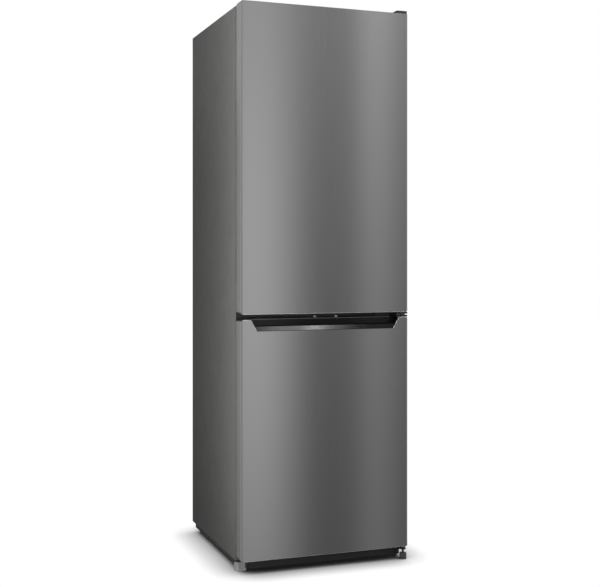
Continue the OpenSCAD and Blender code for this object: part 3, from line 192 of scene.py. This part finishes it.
# %% Floor
def flat_sheet(name, across, up, centre, sides=(2, 2)):
    """Plane through centre spanned by the two half vectors: p(u, v) = centre + u across + v up, -1..1."""
    u, v = np.meshgrid(np.linspace(-1, 1, sides[0]), np.linspace(-1, 1, sides[1]), indexing="ij")
    points = np.asarray(centre) + u[..., None] * np.asarray(across) + v[..., None] * np.asarray(up)
    rows = np.arange(sides[0] * sides[1]).reshape(sides)
    quads = np.stack([rows[:-1, :-1], rows[1:, :-1], rows[1:, 1:], rows[:-1, 1:]], -1).reshape(-1, 4)
    sheet = bpy.data.meshes.new(name)
    sheet.from_pydata(points.reshape(-1, 3).tolist(), [], quads.tolist())
    made = bpy.data.objects.new(name, sheet)
    scene.collection.objects.link(made)
    return made


floor = flat_sheet("studio_floor", (9.0, 0, 0), (0, 9.0, 0), (0, 0, 0))
paint = bpy.data.materials.new("studio_floor_white")
paint.use_nodes = True
tree = paint.node_tree
tree.nodes.clear()
near = add(tree, "ShaderNodeAmbientOcclusion", Distance=0.13, samples=16)
shade = remap(tree, near.outputs["AO"], 0.27, 0.95, 0.01, 1.03, smooth=False)
seen_by_camera = add(tree, "ShaderNodeLightPath").outputs["Is Camera Ray"]
shade = arithmetic(tree, "MULTIPLY", shade, remap(tree, seen_by_camera, 0.0, 1.0, 0.15, 1.0, smooth=False))
glow = add(tree, "ShaderNodeEmission", [("Strength", shade)], Color=(1.0, 1.0, 1.0, 1.0))
add(tree, "ShaderNodeOutputMaterial", [("Surface", glow.outputs[0])])
floor.data.materials.append(paint)
floor.visible_glossy = False
print("floor ready")

# %% Reflection cards
def card_only(made, strength_from):
    """Gives the card an emission whose strength comes from strength_from(tree, x, y, z), seen by reflections only."""
    light = bpy.data.materials.new(made.name + "_light")
    light.use_nodes = True
    tree = light.node_tree
    tree.nodes.clear()
    where = add(tree, "ShaderNodeSeparateXYZ", [(0, add(tree, "ShaderNodeTexCoord").outputs["Object"])])
    glow = add(tree, "ShaderNodeEmission", [("Strength", strength_from(tree, *where.outputs))],
               Color=(1.0, 1.0, 1.0, 1.0))
    add(tree, "ShaderNodeOutputMaterial", [("Surface", glow.outputs[0])])
    made.data.materials.append(light)
    made.visible_camera = made.visible_diffuse = made.visible_shadow = False
    made.visible_transmission = made.visible_volume_scatter = False


def strip(tree, place, rise_from, rise_to, fall_from, fall_to):
    """Soft-edged strip: 0 before rise_from, 1 from rise_to to fall_from, 0 after fall_to."""
    up = remap(tree, place, rise_from, rise_to, 0.0, 1.0)
    down = remap(tree, place, fall_from, fall_to, 1.0, 0.0)
    return arithmetic(tree, "MULTIPLY", up, down)


def front_light(tree, x, y, z):
    """Left soft box, dark gap, right soft box and two far ones, most of it brighter towards the top."""
    left = strip(tree, x, -0.50, 0.02, 0.02, 0.295)
    right = strip(tree, x, 0.40, 0.53, 0.54, 0.71)
    far = strip(tree, x, 0.85, 1.15, 1.6, 2.0)
    farther = strip(tree, x, -1.8, -1.4, -1.1, -0.8)
    tall = arithmetic(tree, "MULTIPLY_ADD", z, arithmetic(tree, "MULTIPLY_ADD", z, 0.115, 0.22), 0.71)
    middle = strip(tree, z, -1.7, 0.8, 0.9, 3.4)
    bright = arithmetic(tree, "MULTIPLY", arithmetic(tree, "MULTIPLY", left, 0.465), middle)
    dim = arithmetic(tree, "MULTIPLY", arithmetic(tree, "MULTIPLY", right, 0.20), tall)
    others = arithmetic(tree, "MULTIPLY", arithmetic(tree, "ADD", far, farther), 0.38)
    base = arithmetic(tree, "MULTIPLY", tall, 0.19)
    return arithmetic(tree, "ADD", arithmetic(tree, "ADD", bright, dim), arithmetic(tree, "ADD", others, base))


def side_light(tree, x, y, z):
    """A bright upright strip that the doors' edges mirror, and a glow at the top for the cabinet's side."""
    edge = arithmetic(tree, "MULTIPLY", strip(tree, y, -2.2, -0.8, 2.36, 2.62), remap(tree, z, -1.0, 0.7, 0.34, 0.54))
    top = arithmetic(tree, "MULTIPLY", remap(tree, z, 1.75, 2.30, 0.0, 0.25), remap(tree, y, 2.35, 2.85, 0.1, 1.1))
    return arithmetic(tree, "ADD", edge, top)


def ceiling_light(tree, x, y, z):
    """A narrow bright lamp in a softer glow with a second crest: only faces that lean back see it, such as the lip."""
    lamp = arithmetic(tree, "MULTIPLY", strip(tree, x, 0.765, 0.82, 0.87, 0.925), 11.0)
    crest = arithmetic(tree, "MULTIPLY", strip(tree, x, 0.56, 0.64, 0.68, 0.75), 2.9)
    glow = arithmetic(tree, "MULTIPLY_ADD", strip(tree, x, 0.40, 0.60, 0.95, 1.12), 3.0, 0.4)
    return arithmetic(tree, "ADD", arithmetic(tree, "ADD", lamp, crest), glow)


front_card = flat_sheet("front_card", (3.0, 0, 0), (0, 0, 2.0), (0.3, -1.11, 0.75))
left_card = flat_sheet("left_card", (0, 5.0, 0), (0, 0, 2.5), (-1.10, 1.5, 1.0))
right_card = flat_sheet("right_card", (0, 5.0, 0), (0, 0, 2.5), (1.60, 1.5, 1.0))
ceiling_card = flat_sheet("ceiling_card", (2.0, 0, 0), (0, 0.6, 0), (0.8, -1.15, 3.0))
card_only(front_card, front_light)
card_only(left_card, side_light)
card_only(right_card, side_light)
card_only(ceiling_card, ceiling_light)
print("four reflection cards ready")

# %% Soft boxes for the inside
def soft_box(name, place, aim, size, watts):
    """Area light at place that looks at aim, hidden from reflections so that only the cards show there."""
    lamp = bpy.data.lights.new(name, "AREA")
    lamp.shape, lamp.size, lamp.size_y, lamp.energy = "RECTANGLE", size[0], size[1], watts
    made = bpy.data.objects.new(name, lamp)
    way = np.asarray(aim, float) - np.asarray(place, float)
    made.location = place
    made.rotation_euler = (np.arctan2(np.hypot(way[0], way[1]), -way[2]), 0.0, np.arctan2(way[0], -way[1]) + np.pi)
    made.visible_glossy = made.visible_camera = False
    scene.collection.objects.link(made)
    return made


soft_box("side_box", (-0.60, -0.50, 1.35), (-0.30, -0.15, 1.35), (0.2, 2.6), 13.9)
soft_box("front_box", (0.6, -3.2, 1.0), (0.0, 0.0, 0.9), (1.6, 1.6), 60.0)
soft_box("back_box", (0.8, 3.0, 2.2), (0.0, 0.3, 0.8), (1.8, 1.8), 60.0)
soft_box("top_box", (0.0, 0.2, 4.2), (0.0, 0.0, 1.9), (1.8, 1.8), 35.0)
soft_box("right_box", (3.2, 0.6, 1.3), (0.3, 0.1, 0.95), (1.8, 1.8), 45.0)
print("soft boxes ready")

# %% [markdown]
# ## Finishes
# Each slot of the model names a real finish: brushed steel, powder coat, moulded plastic, glass.
# One recipe can't give all of them, but most share three layers: a slow change of tone, a change
# of gloss and a fine relief. The recipe below takes these three at real scales in metres, and the
# special finishes, such as brushed steel, zinc spangle and glass, get their own graphs.

# %% The shared recipe
def finish(name, color, rough, metal=0.0, tone=0.06, tone_scale=9.0, grain=700.0, depth=0.00002,
           stretch=(1.0, 1.0, 1.0), gloss_change=0.08, shader_settings=()):
    """Material: tone change = color x (1 +- tone) by slow noise, gloss change by middling noise, relief by grain."""
    made, tree, shader = shell(name)
    slow = speckle(tree, tone_scale)
    darker = tuple(c * (1 - tone) for c in color)
    lighter = tuple(min(1.0, c * (1 + tone)) for c in color)
    tree.links.new(shader.inputs["Base Color"], blend_colors(tree, slow, darker, lighter))
    worn = speckle(tree, tone_scale * 5, stretch, 4.0)
    tree.links.new(shader.inputs["Roughness"],
                   remap(tree, worn, 0.3, 0.7, max(0.03, rough - gloss_change), min(1.0, rough + gloss_change)))
    relief(tree, shader, speckle(tree, grain, stretch, 1.0), depth)
    shader.inputs["Metallic"].default_value = metal
    for key, value in shader_settings:
        shader.inputs[key].default_value = value
    return made


print("shared recipe ready")

# %% [markdown]
# ### Brushed door steel
# The real sheet is rolled steel with a hairline brushing under a clear dark lacquer. The lines run
# upright and are a fraction of a millimetre wide and many centimetres long. Noise that is
# stretched a thousand times along Z gives them, in tone, in gloss and as a very shallow relief.

# %% Brushed door steel
def brushed(name, color, rough, metal, coat, line=2600.0, depth=0.000004):
    """Hairlines: noise of x, y at line per metre and z at 1/400 of it, mixed with a slower set of streaks."""
    made, tree, shader = shell(name)
    fine = speckle(tree, line, (1.0, 1.0, 0.0025), 2.0)
    broad = speckle(tree, line / 12, (1.0, 1.0, 0.004), 2.0)
    lines = arithmetic(tree, "ADD", arithmetic(tree, "MULTIPLY", fine, 0.75), arithmetic(tree, "MULTIPLY", broad, 0.25))
    tree.links.new(shader.inputs["Base Color"], blend_colors(
        tree, remap(tree, lines, 0.3, 0.7, 0.0, 1.0, False),
        tuple(c * 0.96 for c in color), tuple(c * 1.035 for c in color)))
    tree.links.new(shader.inputs["Roughness"], remap(tree, lines, 0.3, 0.7, rough - 0.03, rough + 0.04, False))
    relief(tree, shader, fine, depth)
    shader.inputs["Metallic"].default_value = metal
    shader.inputs["Coat Weight"].default_value = coat
    shader.inputs["Coat Roughness"].default_value = 0.12
    return made


door_steel = brushed("door_steel", (0.50, 0.505, 0.50), 0.17, 1.0, 0.0)
# A lighter, half-metal copy of the door steel for the folded edges: a painted highlight along the hems.
hem_painted_highlight = brushed("hem_painted_highlight", (0.74, 0.745, 0.74), 0.26, 0.5, 0.0, line=900.0)
print("brushed steel ready")

# %% [markdown]
# ### Zinc spangle
# Hot-dipped steel at the back shows crystals of zinc a centimetre or so across, each a slightly
# different grey. A Voronoi pattern gives every cell its own random shade, as the crystals have.

# %% Galvanised sheet
galvanised, tree, shader = shell("galvanised")
crystals = add(tree, "ShaderNodeTexVoronoi", [("Vector", on_object(tree))], Scale=85.0, Randomness=1.0)
shade = add(tree, "ShaderNodeSeparateColor", [("Color", crystals.outputs["Color"])]).outputs[0]
tree.links.new(shader.inputs["Base Color"], blend_colors(tree, shade, (0.42, 0.44, 0.46), (0.60, 0.62, 0.63)))
tree.links.new(shader.inputs["Roughness"], remap(tree, shade, 0.0, 1.0, 0.30, 0.48, False))
relief(tree, shader, speckle(tree, 400.0), 0.00002)
shader.inputs["Metallic"].default_value = 0.92
print("galvanised sheet ready")

# %% [markdown]
# ### Moulded plastic, paint, rubber and foam
# These follow the shared recipe with the grain of their own tool or process: vacuum-formed white
# polystyrene is nearly smooth, spark-eroded black plastic is pebbled at a third of a millimetre,
# powder coat has an orange peel of a millimetre, and cut foam is open and dull.

# %% Plain finishes
MATERIALS = {
    "side_steel": finish("side_steel", (0.091, 0.0915, 0.088), 0.34, tone=0.05, tone_scale=3.0, grain=1000.0,
                         gloss_change=0.03, depth=0.00002, shader_settings=[("Specular IOR Level", 0.12)]),
    "door_steel": door_steel,
    "galvanised": galvanised,
    "black_steel": finish("black_steel", (0.014, 0.014, 0.015), 0.55, tone=0.2, grain=1100.0, depth=0.00006),
    "foam": finish("foam", (0.62, 0.52, 0.34), 0.95, tone=0.15, tone_scale=30.0, grain=900.0, depth=0.0003),
    "white_liner": finish("white_liner", (0.80, 0.81, 0.81), 0.36, tone=0.015, tone_scale=3.0, grain=260.0,
                          gloss_change=0.015, depth=0.00003, shader_settings=[("Coat Weight", 0.1)]),
    "grey_steel": finish("grey_steel", (0.10, 0.10, 0.10), 0.38, tone=0.08, grain=900.0, depth=0.00003),
    "black_plastic": finish("black_plastic", (0.012, 0.012, 0.013), 0.46, tone=0.15, grain=1900.0, depth=0.00005),
    "zinc": finish("zinc", (0.46, 0.46, 0.45), 0.34, 1.0, tone=0.12, tone_scale=60.0, grain=700.0),
    "bright_zinc": finish("bright_zinc", (0.97, 0.97, 0.96), 0.10, 1.0, tone=0.05, tone_scale=60.0, grain=700.0, gloss_change=0.04),
    "cover_plastic": finish("cover_plastic", (0.036, 0.036, 0.037), 0.42, tone=0.12, grain=1700.0, depth=0.00005),
    "copper": finish("copper", (0.72, 0.33, 0.18), 0.30, 1.0, tone=0.28, tone_scale=38.0, grain=500.0),
    "rubber_black": finish("rubber_black", (0.018, 0.018, 0.018), 0.82, tone=0.2, grain=800.0, depth=0.00008),
    "relay_plastic": finish("relay_plastic", (0.72, 0.71, 0.68), 0.50, tone=0.1, grain=1500.0, depth=0.00004),
    "tray_plastic": finish("tray_plastic", (0.50, 0.51, 0.52), 0.48, tone=0.12, grain=1200.0, depth=0.00004),
    "trim_silver": finish("trim_silver", (0.55, 0.56, 0.57), 0.28, 0.75, tone=0.05, grain=1400.0,
                          stretch=(0.01, 1.0, 1.0), depth=0.00001),
    "aluminium": finish("aluminium", (0.74, 0.75, 0.76), 0.32, 1.0, tone=0.08, tone_scale=40.0, grain=900.0),
    "gasket": finish("gasket", (0.15, 0.15, 0.15), 0.62, tone=0.1, grain=1300.0, depth=0.00005),
    "bush_plastic": finish("bush_plastic", (0.72, 0.71, 0.68), 0.42, tone=0.04, grain=1500.0, depth=0.00003),
    "grip_black": finish("grip_black", (0.004, 0.004, 0.005), 0.12, tone=0.1, grain=120.0, depth=0.00001,
                         gloss_change=0.03, shader_settings=[("Specular IOR Level", 0.3)]),
    # Grey metal for the rear rim of the grip pocket, which is black plastic: a painted highlight for the light line
    # along it.
    "rim_painted_highlight": finish("rim_painted_highlight", (0.30, 0.29, 0.27), 0.34, 1.0, tone=0.08, grain=1500.0, depth=0.00002),
    # A darker copy of zinc: painted shade for the middle hinge bracket, which sits in the dark gap between the doors.
    "zinc_painted_shade": finish("zinc_painted_shade", (0.16, 0.16, 0.155), 0.40, 1.0, tone=0.15, tone_scale=60.0, grain=700.0),
    "foot_silver": finish("foot_silver", (0.46, 0.46, 0.45), 0.22, 0.85, tone=0.08, grain=1300.0, depth=0.00005),
    "foot_dark": finish("foot_dark", (0.05, 0.05, 0.05), 0.45, tone=0.12, grain=1300.0, depth=0.00005),
    "braze": finish("braze", (0.70, 0.48, 0.22), 0.34, 1.0, tone=0.2, tone_scale=90.0, grain=900.0),
    "print_grey": finish("print_grey", (0.16, 0.17, 0.18), 0.50, tone=0.06, grain=2400.0, depth=0.00002),
    "board_white": finish("board_white", (0.78, 0.80, 0.74), 0.40, tone=0.03, grain=1600.0, depth=0.00002),
}
print(len(MATERIALS), "opaque finishes")

# %% [markdown]
# ### Glass and clear plastic
# Shelf glass is clear with a green tint at its cut edges, drawers are clear styrene with a faint
# haze, and the lamp lens is frosted. All three let light through, so their shaders transmit, and
# fine noise on the gloss keeps them from looking like perfect computer glass.

# %% See-through finishes
def clear(name, color, rough, haze, ior, grain=300.0, depth=0.00001):
    """Transmitting material: gloss from rough to rough + haze by noise, tint color, refraction ior."""
    made, tree, shader = shell(name)
    cloud = speckle(tree, 25.0, detail=4.0)
    tree.links.new(shader.inputs["Base Color"], blend_colors(tree, cloud, tuple(c * 0.97 for c in color), color))
    tree.links.new(shader.inputs["Roughness"], remap(tree, cloud, 0.3, 0.7, rough, rough + haze))
    relief(tree, shader, speckle(tree, grain), depth)
    shader.inputs["Transmission Weight"].default_value = 1.0
    shader.inputs["IOR"].default_value = ior
    return made


MATERIALS["glass"] = clear("glass", (0.90, 0.97, 0.94), 0.01, 0.02, 1.5)
MATERIALS["clear_plastic"] = clear("clear_plastic", (0.93, 0.95, 0.97), 0.06, 0.06, 1.35)
MATERIALS["lens"] = clear("lens", (0.96, 0.96, 0.95), 0.45, 0.10, 1.3, grain=1500.0, depth=0.00005)
print("see-through finishes ready")

# %% Give every node its finish
slot_of = {part["node"]: part["material_slot"] for part in frame["record"]["subparts"]}
for name, thing in frame["nodes"].items():
    thing.data.materials.clear()
    # The middle hinge bracket takes the darker copy of zinc, painted shade for the gap between the doors.
    thing.data.materials.append(MATERIALS["zinc_painted_shade" if name == "middle_hinge_bracket" else slot_of[name]])
print("dressed", len(slot_of), "nodes in", len(set(slot_of.values())), "finishes")

# %% [markdown]
# ## Surfaces from grids of points
# Every new piece below is a sheet of points worked out with numpy: a profile turned about an axis,
# or a circle carried along a path. One function makes the mesh from such a grid, closes its seam
# and poles and lets it ride on the body that carries it. The object stays at the origin, because
# its place is in its points, as with the loaded nodes.

# %% From a grid to a piece
def piece_from_faces(name, points, faces, body, finish, smooth=True):
    """One mesh of these points and faces, its doubles merged and its normals outwards, riding on body."""
    sheet = bpy.data.meshes.new(name)
    sheet.from_pydata(np.asarray(points).tolist(), [], faces)
    work = bmesh.new()
    work.from_mesh(sheet)
    bmesh.ops.remove_doubles(work, verts=work.verts, dist=1e-6)
    bmesh.ops.dissolve_degenerate(work, edges=work.edges, dist=1e-7)
    bmesh.ops.recalc_face_normals(work, faces=work.faces)
    work.to_mesh(sheet)
    work.free()
    sheet.polygons.foreach_set("use_smooth", np.full(len(sheet.polygons), smooth))
    made = bpy.data.objects.new(name, sheet)
    scene.collection.objects.link(made)
    sheet.materials.append(finish)
    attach(made, body)
    print(name, len(sheet.polygons), "faces on", body)
    return made


def piece_from_grids(name, grids, body, finish, smooth=True):
    """Joins the points of each (n, m, 3) grid to their neighbours, round in v, as one mesh called name."""
    points, quads, base = [], [], 0
    for grid in grids:
        n, m = grid.shape[:2]
        ids = base + np.arange(n * m).reshape(n, m)
        right = np.roll(ids, -1, axis=1)
        quads.append(np.stack([ids[:-1], right[:-1], right[1:], ids[1:]], -1).reshape(-1, 4))
        points.append(grid.reshape(-1, 3))
        base += n * m
    return piece_from_faces(name, np.concatenate(points), np.concatenate(quads).tolist(), body, finish, smooth)


def turned(profile, sides=32):
    """Surface of revolution about Z: p(s, t) = (r(s) cos t, r(s) sin t, h(s)) for a list of (r, h)."""
    r, h = np.asarray(profile, float).T
    t = np.linspace(0, 2 * np.pi, sides, endpoint=False)
    return np.stack([r[:, None] * np.cos(t), r[:, None] * np.sin(t), np.repeat(h[:, None], sides, 1)], -1)


def placed(grid, at, axis):
    """Turns a grid made along +Z so that Z points along axis, and moves its origin to at."""
    z = np.asarray(axis, float) / np.linalg.norm(axis)
    x = np.cross([0.0, 1.0, 0.0], z) if abs(z[1]) < 0.9 else np.cross([1.0, 0.0, 0.0], z)
    x = x / np.linalg.norm(x)
    return grid @ np.stack([x, np.cross(z, x), z]) + np.asarray(at, float)


def bead_along(path, radius, sides=10):
    """Tube along the path's points: p(i, t) = path_i + radius (cos t side_i + sin t up_i), pinched shut at both ends."""
    path = np.asarray(path, float)
    way = np.gradient(path, axis=0)
    way /= np.linalg.norm(way, axis=1, keepdims=True)
    helper = np.where(np.abs(way[:, 1:2]) < 0.9, [[0.0, 1.0, 0.0]], [[1.0, 0.0, 0.0]])
    side = np.cross(way, helper)
    side /= np.linalg.norm(side, axis=1, keepdims=True)
    up = np.cross(side, way)
    t = np.linspace(0, 2 * np.pi, sides, endpoint=False)
    ring = radius * (np.cos(t)[None, :, None] * side[:, None] + np.sin(t)[None, :, None] * up[:, None])
    tube = path[:, None] + ring
    start, end = (np.repeat(path[k][None, None], sides, 1) for k in (0, -1))
    return np.concatenate([start, tube, end])


print("grid helpers ready")

# %% [markdown]
# ## Screw heads
# The bar between the doors, the back panel and the cover of the compressor bay are held by pan-head
# screws. The head is a turned profile, and its cross recess is pressed into the same grid: every
# point whose x or y lies within the blade's width sinks, and the sinking fades out at the rim.

# %% Pan-head screws
def pan_head(radius, height, recess):
    """Dome h = height sqrt(1 - 0.8 q^2) with q = r / radius, less the recess inside the cross, closed underneath."""
    q = np.array([0.0, 0.08, 0.16, 0.24, 0.34, 0.46, 0.58, 0.7, 0.82, 0.92, 1.0, 1.0, 0.0])
    h = height * np.sqrt(1 - 0.8 * q * q)
    h[-2:] = 0.0
    grid = turned(np.stack([q * radius, h], -1), 32)
    x, y = np.abs(grid[..., 0]) / radius, np.abs(grid[..., 1]) / radius
    blade = np.clip(1.0 - (np.minimum(x, y) - 0.10) / 0.06, 0.0, 1.0) * np.clip((0.60 - np.maximum(x, y)) / 0.12, 0.0, 1.0)
    grid[:-2, :, 2] -= recess * blade[:-2]
    return grid


(back_lo, back_hi), (cover_lo, cover_hi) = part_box("back_panel"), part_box("compressor_cover")
side_rows = [(s * (back_hi.x - 0.012), back_hi.y, z) for s in (-1, 1)
             for z in np.linspace(back_lo.z + 0.03, back_hi.z - 0.03, 9)]
top_row = [(x, back_hi.y, back_hi.z - 0.012) for x in (-0.2, -0.067, 0.067, 0.2)]
cover_row = [(x, cover_hi.y, z) for x in (-0.284, -0.13, 0.03, 0.284) for z in (cover_lo.z + 0.011, cover_hi.z - 0.011)]
small = pan_head(0.0042, 0.0017, 0.0011)
piece_from_grids("back_screws", [placed(small, at, (0, 1, 0)) for at in side_rows + top_row + cover_row],
                 "cabinet", MATERIALS["zinc"])
face_y, low_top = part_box("mullion_bar")[0].y - 0.0045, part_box("lower_door_skin")[1].z
flat_head = turned([(0.0, 0.0009), (0.0007, 0.0009), (0.0009, 0.0014), (0.0011, 0.0014), (0.0013, 0.0014), (0.0042, 0.0014),
                    (0.0045, 0.0014), (0.0052, 0.0010), (0.0055, 0.0), (0.0, 0.0)])
piece_from_grids("mullion_screws", [placed(flat_head, (x, face_y, low_top + 0.0044), (0, -1, 0.09)) for x in (-0.0215, 0.0551)], "cabinet", MATERIALS["bright_zinc"])

# %% [markdown]
# ## Folded edges of the door skins
# The steel of a door skin is folded over at its horizontal edges and round the grip opening. The
# fold is only a millimetre thick, but it always turns some part of itself to the light, so it shows
# as a fine bright line. A thin bead along each edge gives the fold's shape. Its steel is a lighter,
# half-metal copy of the door steel, a painted highlight that brightens the line.

# %% Door skin hems
def edge_path(corners, step=0.02):
    """Points every step metres along straight runs between the corners."""
    corners = np.asarray(corners, float)
    runs = [np.linspace(a, b, max(2, int(np.linalg.norm(b - a) / step)), endpoint=False)
            for a, b in zip(corners[:-1], corners[1:])]
    return np.concatenate(runs + [corners[-1:]])


low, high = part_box("lower_door_skin")[0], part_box("upper_door_skin")[0]
front = low.y + 0.0012
half = -low.x - 0.006
grip_top, grip_low, grip_z = 0.2645, 0.2435, low_top - 0.037
opening = [(-half, front, low_top), (-grip_top, front, low_top), (-grip_low, front, grip_z),
           (grip_low, front, grip_z), (grip_top, front, low_top), (half, front, low_top)]
piece_from_grids("lower_door_hem", [bead_along(edge_path(opening), 0.0011),
                                    bead_along(edge_path([(-half, front, low.z), (half, front, low.z)]), 0.0011)],
                 "lower_door", hem_painted_highlight)
# The rim at the back of the grip pocket is a real rounded edge. Its grey metal finish is a painted highlight.
rim = [(-0.271, -0.2740, low_top + 0.0006), (0.262, -0.2740, low_top + 0.0006)]
piece_from_grids("grip_rim", [bead_along(edge_path(rim), 0.0030, 16)], "lower_door", MATERIALS["rim_painted_highlight"])
piece_from_grids("upper_door_hem", [bead_along(edge_path([(-half, front, high.z), (half, front, high.z)]), 0.0011)],
                 "upper_door", hem_painted_highlight)

# %% [markdown]
# ## Welds and brazed joints in the compressor bay
# The compressor's two half shells meet in a band that is welded all round. A weld is a row of
# overlapping pools, so its bead is a ring whose radius ripples once for each pool. Where a copper
# tube enters the shell or the dryer, the brazing metal has run into a small collar round the tube.

# %% Compressor weld
def rippled_ring(centre, radius, thick, pools, sides=8):
    """p(a, t) = centre + (R + q cos t)(cos a, sin a) + (0, 0, q sin t), where q = thick (1 + 0.18 cos(pools a))."""
    a = np.linspace(0, 2 * np.pi, pools * 6 + 1)
    t = np.linspace(0, 2 * np.pi, sides, endpoint=False)
    q = thick * (1 + 0.18 * np.cos(pools * a))[:, None]
    r = radius + q * np.cos(t)
    return np.stack([centre[0] + r * np.cos(a)[:, None], centre[1] + r * np.sin(a)[:, None], centre[2] + q * np.sin(t)], -1)


can_lo, can_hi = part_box("compressor")
can_mid = ((can_lo.x + can_hi.x) / 2, (can_lo.y + can_hi.y) / 2)
can_foot, can_radius = can_hi.z - 0.146, 0.072
band_z = can_foot + 0.146 * 0.55
welds = [rippled_ring((*can_mid, band_z + rise), can_radius + 0.0004, 0.0013, 96) for rise in (-0.0006, 0.0056)]
piece_from_grids("compressor_weld", welds, "cabinet", MATERIALS["black_steel"])

# %% Brazed collars
collar = turned([(0.0029, -0.0020), (0.0042, -0.0016), (0.0048, 0.0), (0.0042, 0.0016), (0.0035, 0.0034), (0.0029, 0.0042)], 24)
dry_lo, dry_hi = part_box("filter_dryer")
dry_mid = ((dry_lo.x + dry_hi.x) / 2, (dry_lo.y + dry_hi.y) / 2)
joints_at = [((can_mid[0] - can_radius, can_mid[1], can_foot + 0.040), (-1, 0, 0)),
             ((can_mid[0] - 0.0679, can_mid[1] + 0.024, can_foot + 0.030), (-1, 0, 0)),
             ((*dry_mid, dry_lo.z), (0, 0, -1)), ((*dry_mid, dry_hi.z), (0, 0, 1))]
piece_from_grids("brazed_collars", [placed(collar, at, way) for at, way in joints_at], "cabinet", MATERIALS["braze"])

# %% [markdown]
# ## Scale of the temperature dial
# A dial needs its scale. The numbers are printed on the underside of the housing round the dial,
# so they are read from below: their right side is +X and their top points to the front. They are
# made as text with a little thickness, turned into a mesh and laid round the dial in one formula.

# %% Numbers, ticks and pointer
def number_shape(text, size):
    """Points and faces of a number, size metres high by the font's measure, standing on the XY plane."""
    letters = bpy.data.curves.new("number", "FONT")
    letters.body, letters.size, letters.extrude, letters.resolution_u = text, size, 0.0001, 4
    letters.align_x, letters.align_y = "CENTER", "CENTER"
    holder = bpy.data.objects.new("number", letters)
    scene.collection.objects.link(holder)
    bpy.context.view_layer.update()
    flat = bpy.data.meshes.new_from_object(holder.evaluated_get(bpy.context.evaluated_depsgraph_get()))
    points = np.empty(len(flat.vertices) * 3)
    flat.vertices.foreach_get("co", points)
    faces = [tuple(face.vertices) for face in flat.polygons]
    for made in (holder, letters, flat):
        (bpy.data.objects if made is holder else bpy.data.curves if made is letters else bpy.data.meshes).remove(made)
    return points.reshape(-1, 3), faces


dial_lo, dial_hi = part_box("temperature_dial")
dial_mid = np.array([(dial_lo.x + dial_hi.x) / 2, (dial_lo.y + dial_hi.y) / 2, 0.0])
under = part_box("control_housing")[0].z
way_to = [np.array([np.cos(a), np.sin(a), 0.0]) for a in np.radians(-90.0 - 50.0 * np.arange(7))]
points, faces, base = [], [], 0
for number, way in enumerate(way_to):
    shape, sides = number_shape(str(number), 0.0046)
    points.append(dial_mid + 0.0236 * way + shape * [1, -1, -1] + [0, 0, under])
    faces += [tuple(base + i for i in side) for side in sides]
    base += len(shape)
piece_from_faces("dial_numbers", np.concatenate(points), faces, "cabinet", MATERIALS["print_grey"], smooth=False)
ticks = [bead_along([dial_mid + r * way + [0, 0, under] for r in (0.0188, 0.0194, 0.0202, 0.0208)], 0.0003)
         for way in way_to]
piece_from_grids("dial_ticks", ticks, "cabinet", MATERIALS["print_grey"])
pointer = [dial_mid + [0, y, dial_lo.z] for y in (-0.0132, -0.011, -0.008, -0.005)]
piece_from_grids("dial_pointer", [bead_along(pointer, 0.0006)], "dial", MATERIALS["print_grey"])

# %% [markdown]
# ## Lamp behind the frosted lens
# The lens in the roof hides a narrow white board with a row of light-emitting diodes. It shows
# through the frosting as a soft shape, so it needs its real size and place but little detail.

# %% Lamp board
def slab(centre, half, corner, steps=6):
    """Slab with rounded upright edges: a rounded rectangle's outline at its low and high face, pinched shut on both."""
    a = np.linspace(0, np.pi / 2, steps)
    quarter = np.stack([np.cos(a), np.sin(a)], -1) * corner + [half[0] - corner, half[1] - corner]
    ring = np.concatenate([quarter, quarter[::-1] * [-1, 1], -quarter, quarter[::-1] * [1, -1]])
    faces = [(0.0, -1), (1.0, -1), (1.0, 1), (0.0, 1)]
    grid = np.stack([np.column_stack([ring * share, np.full(len(ring), side * half[2])]) for share, side in faces])
    return grid + np.asarray(centre, float)


lens_lo, lens_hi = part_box("lamp_lens")
lens_mid = np.array([(lens_lo.x + lens_hi.x) / 2, (lens_lo.y + lens_hi.y) / 2, lens_hi.z])
board = [slab(lens_mid - [0, 0, 0.0012], (0.050, 0.014, 0.0006), 0.002)]
board += [slab(lens_mid + [x, 0, -0.0023], (0.0018, 0.0018, 0.0005), 0.0006) for x in np.linspace(-0.042, 0.042, 7)]
board += [slab(lens_mid + [x, 0.009, -0.0021], (0.0010, 0.0006, 0.0003), 0.0001) for x in np.linspace(-0.035, 0.035, 4)]
piece_from_grids("lamp_board", board, "cabinet", MATERIALS["board_white"], smooth=False)

# %% [markdown]
# ## End

# %% Finish
print("scene finished")
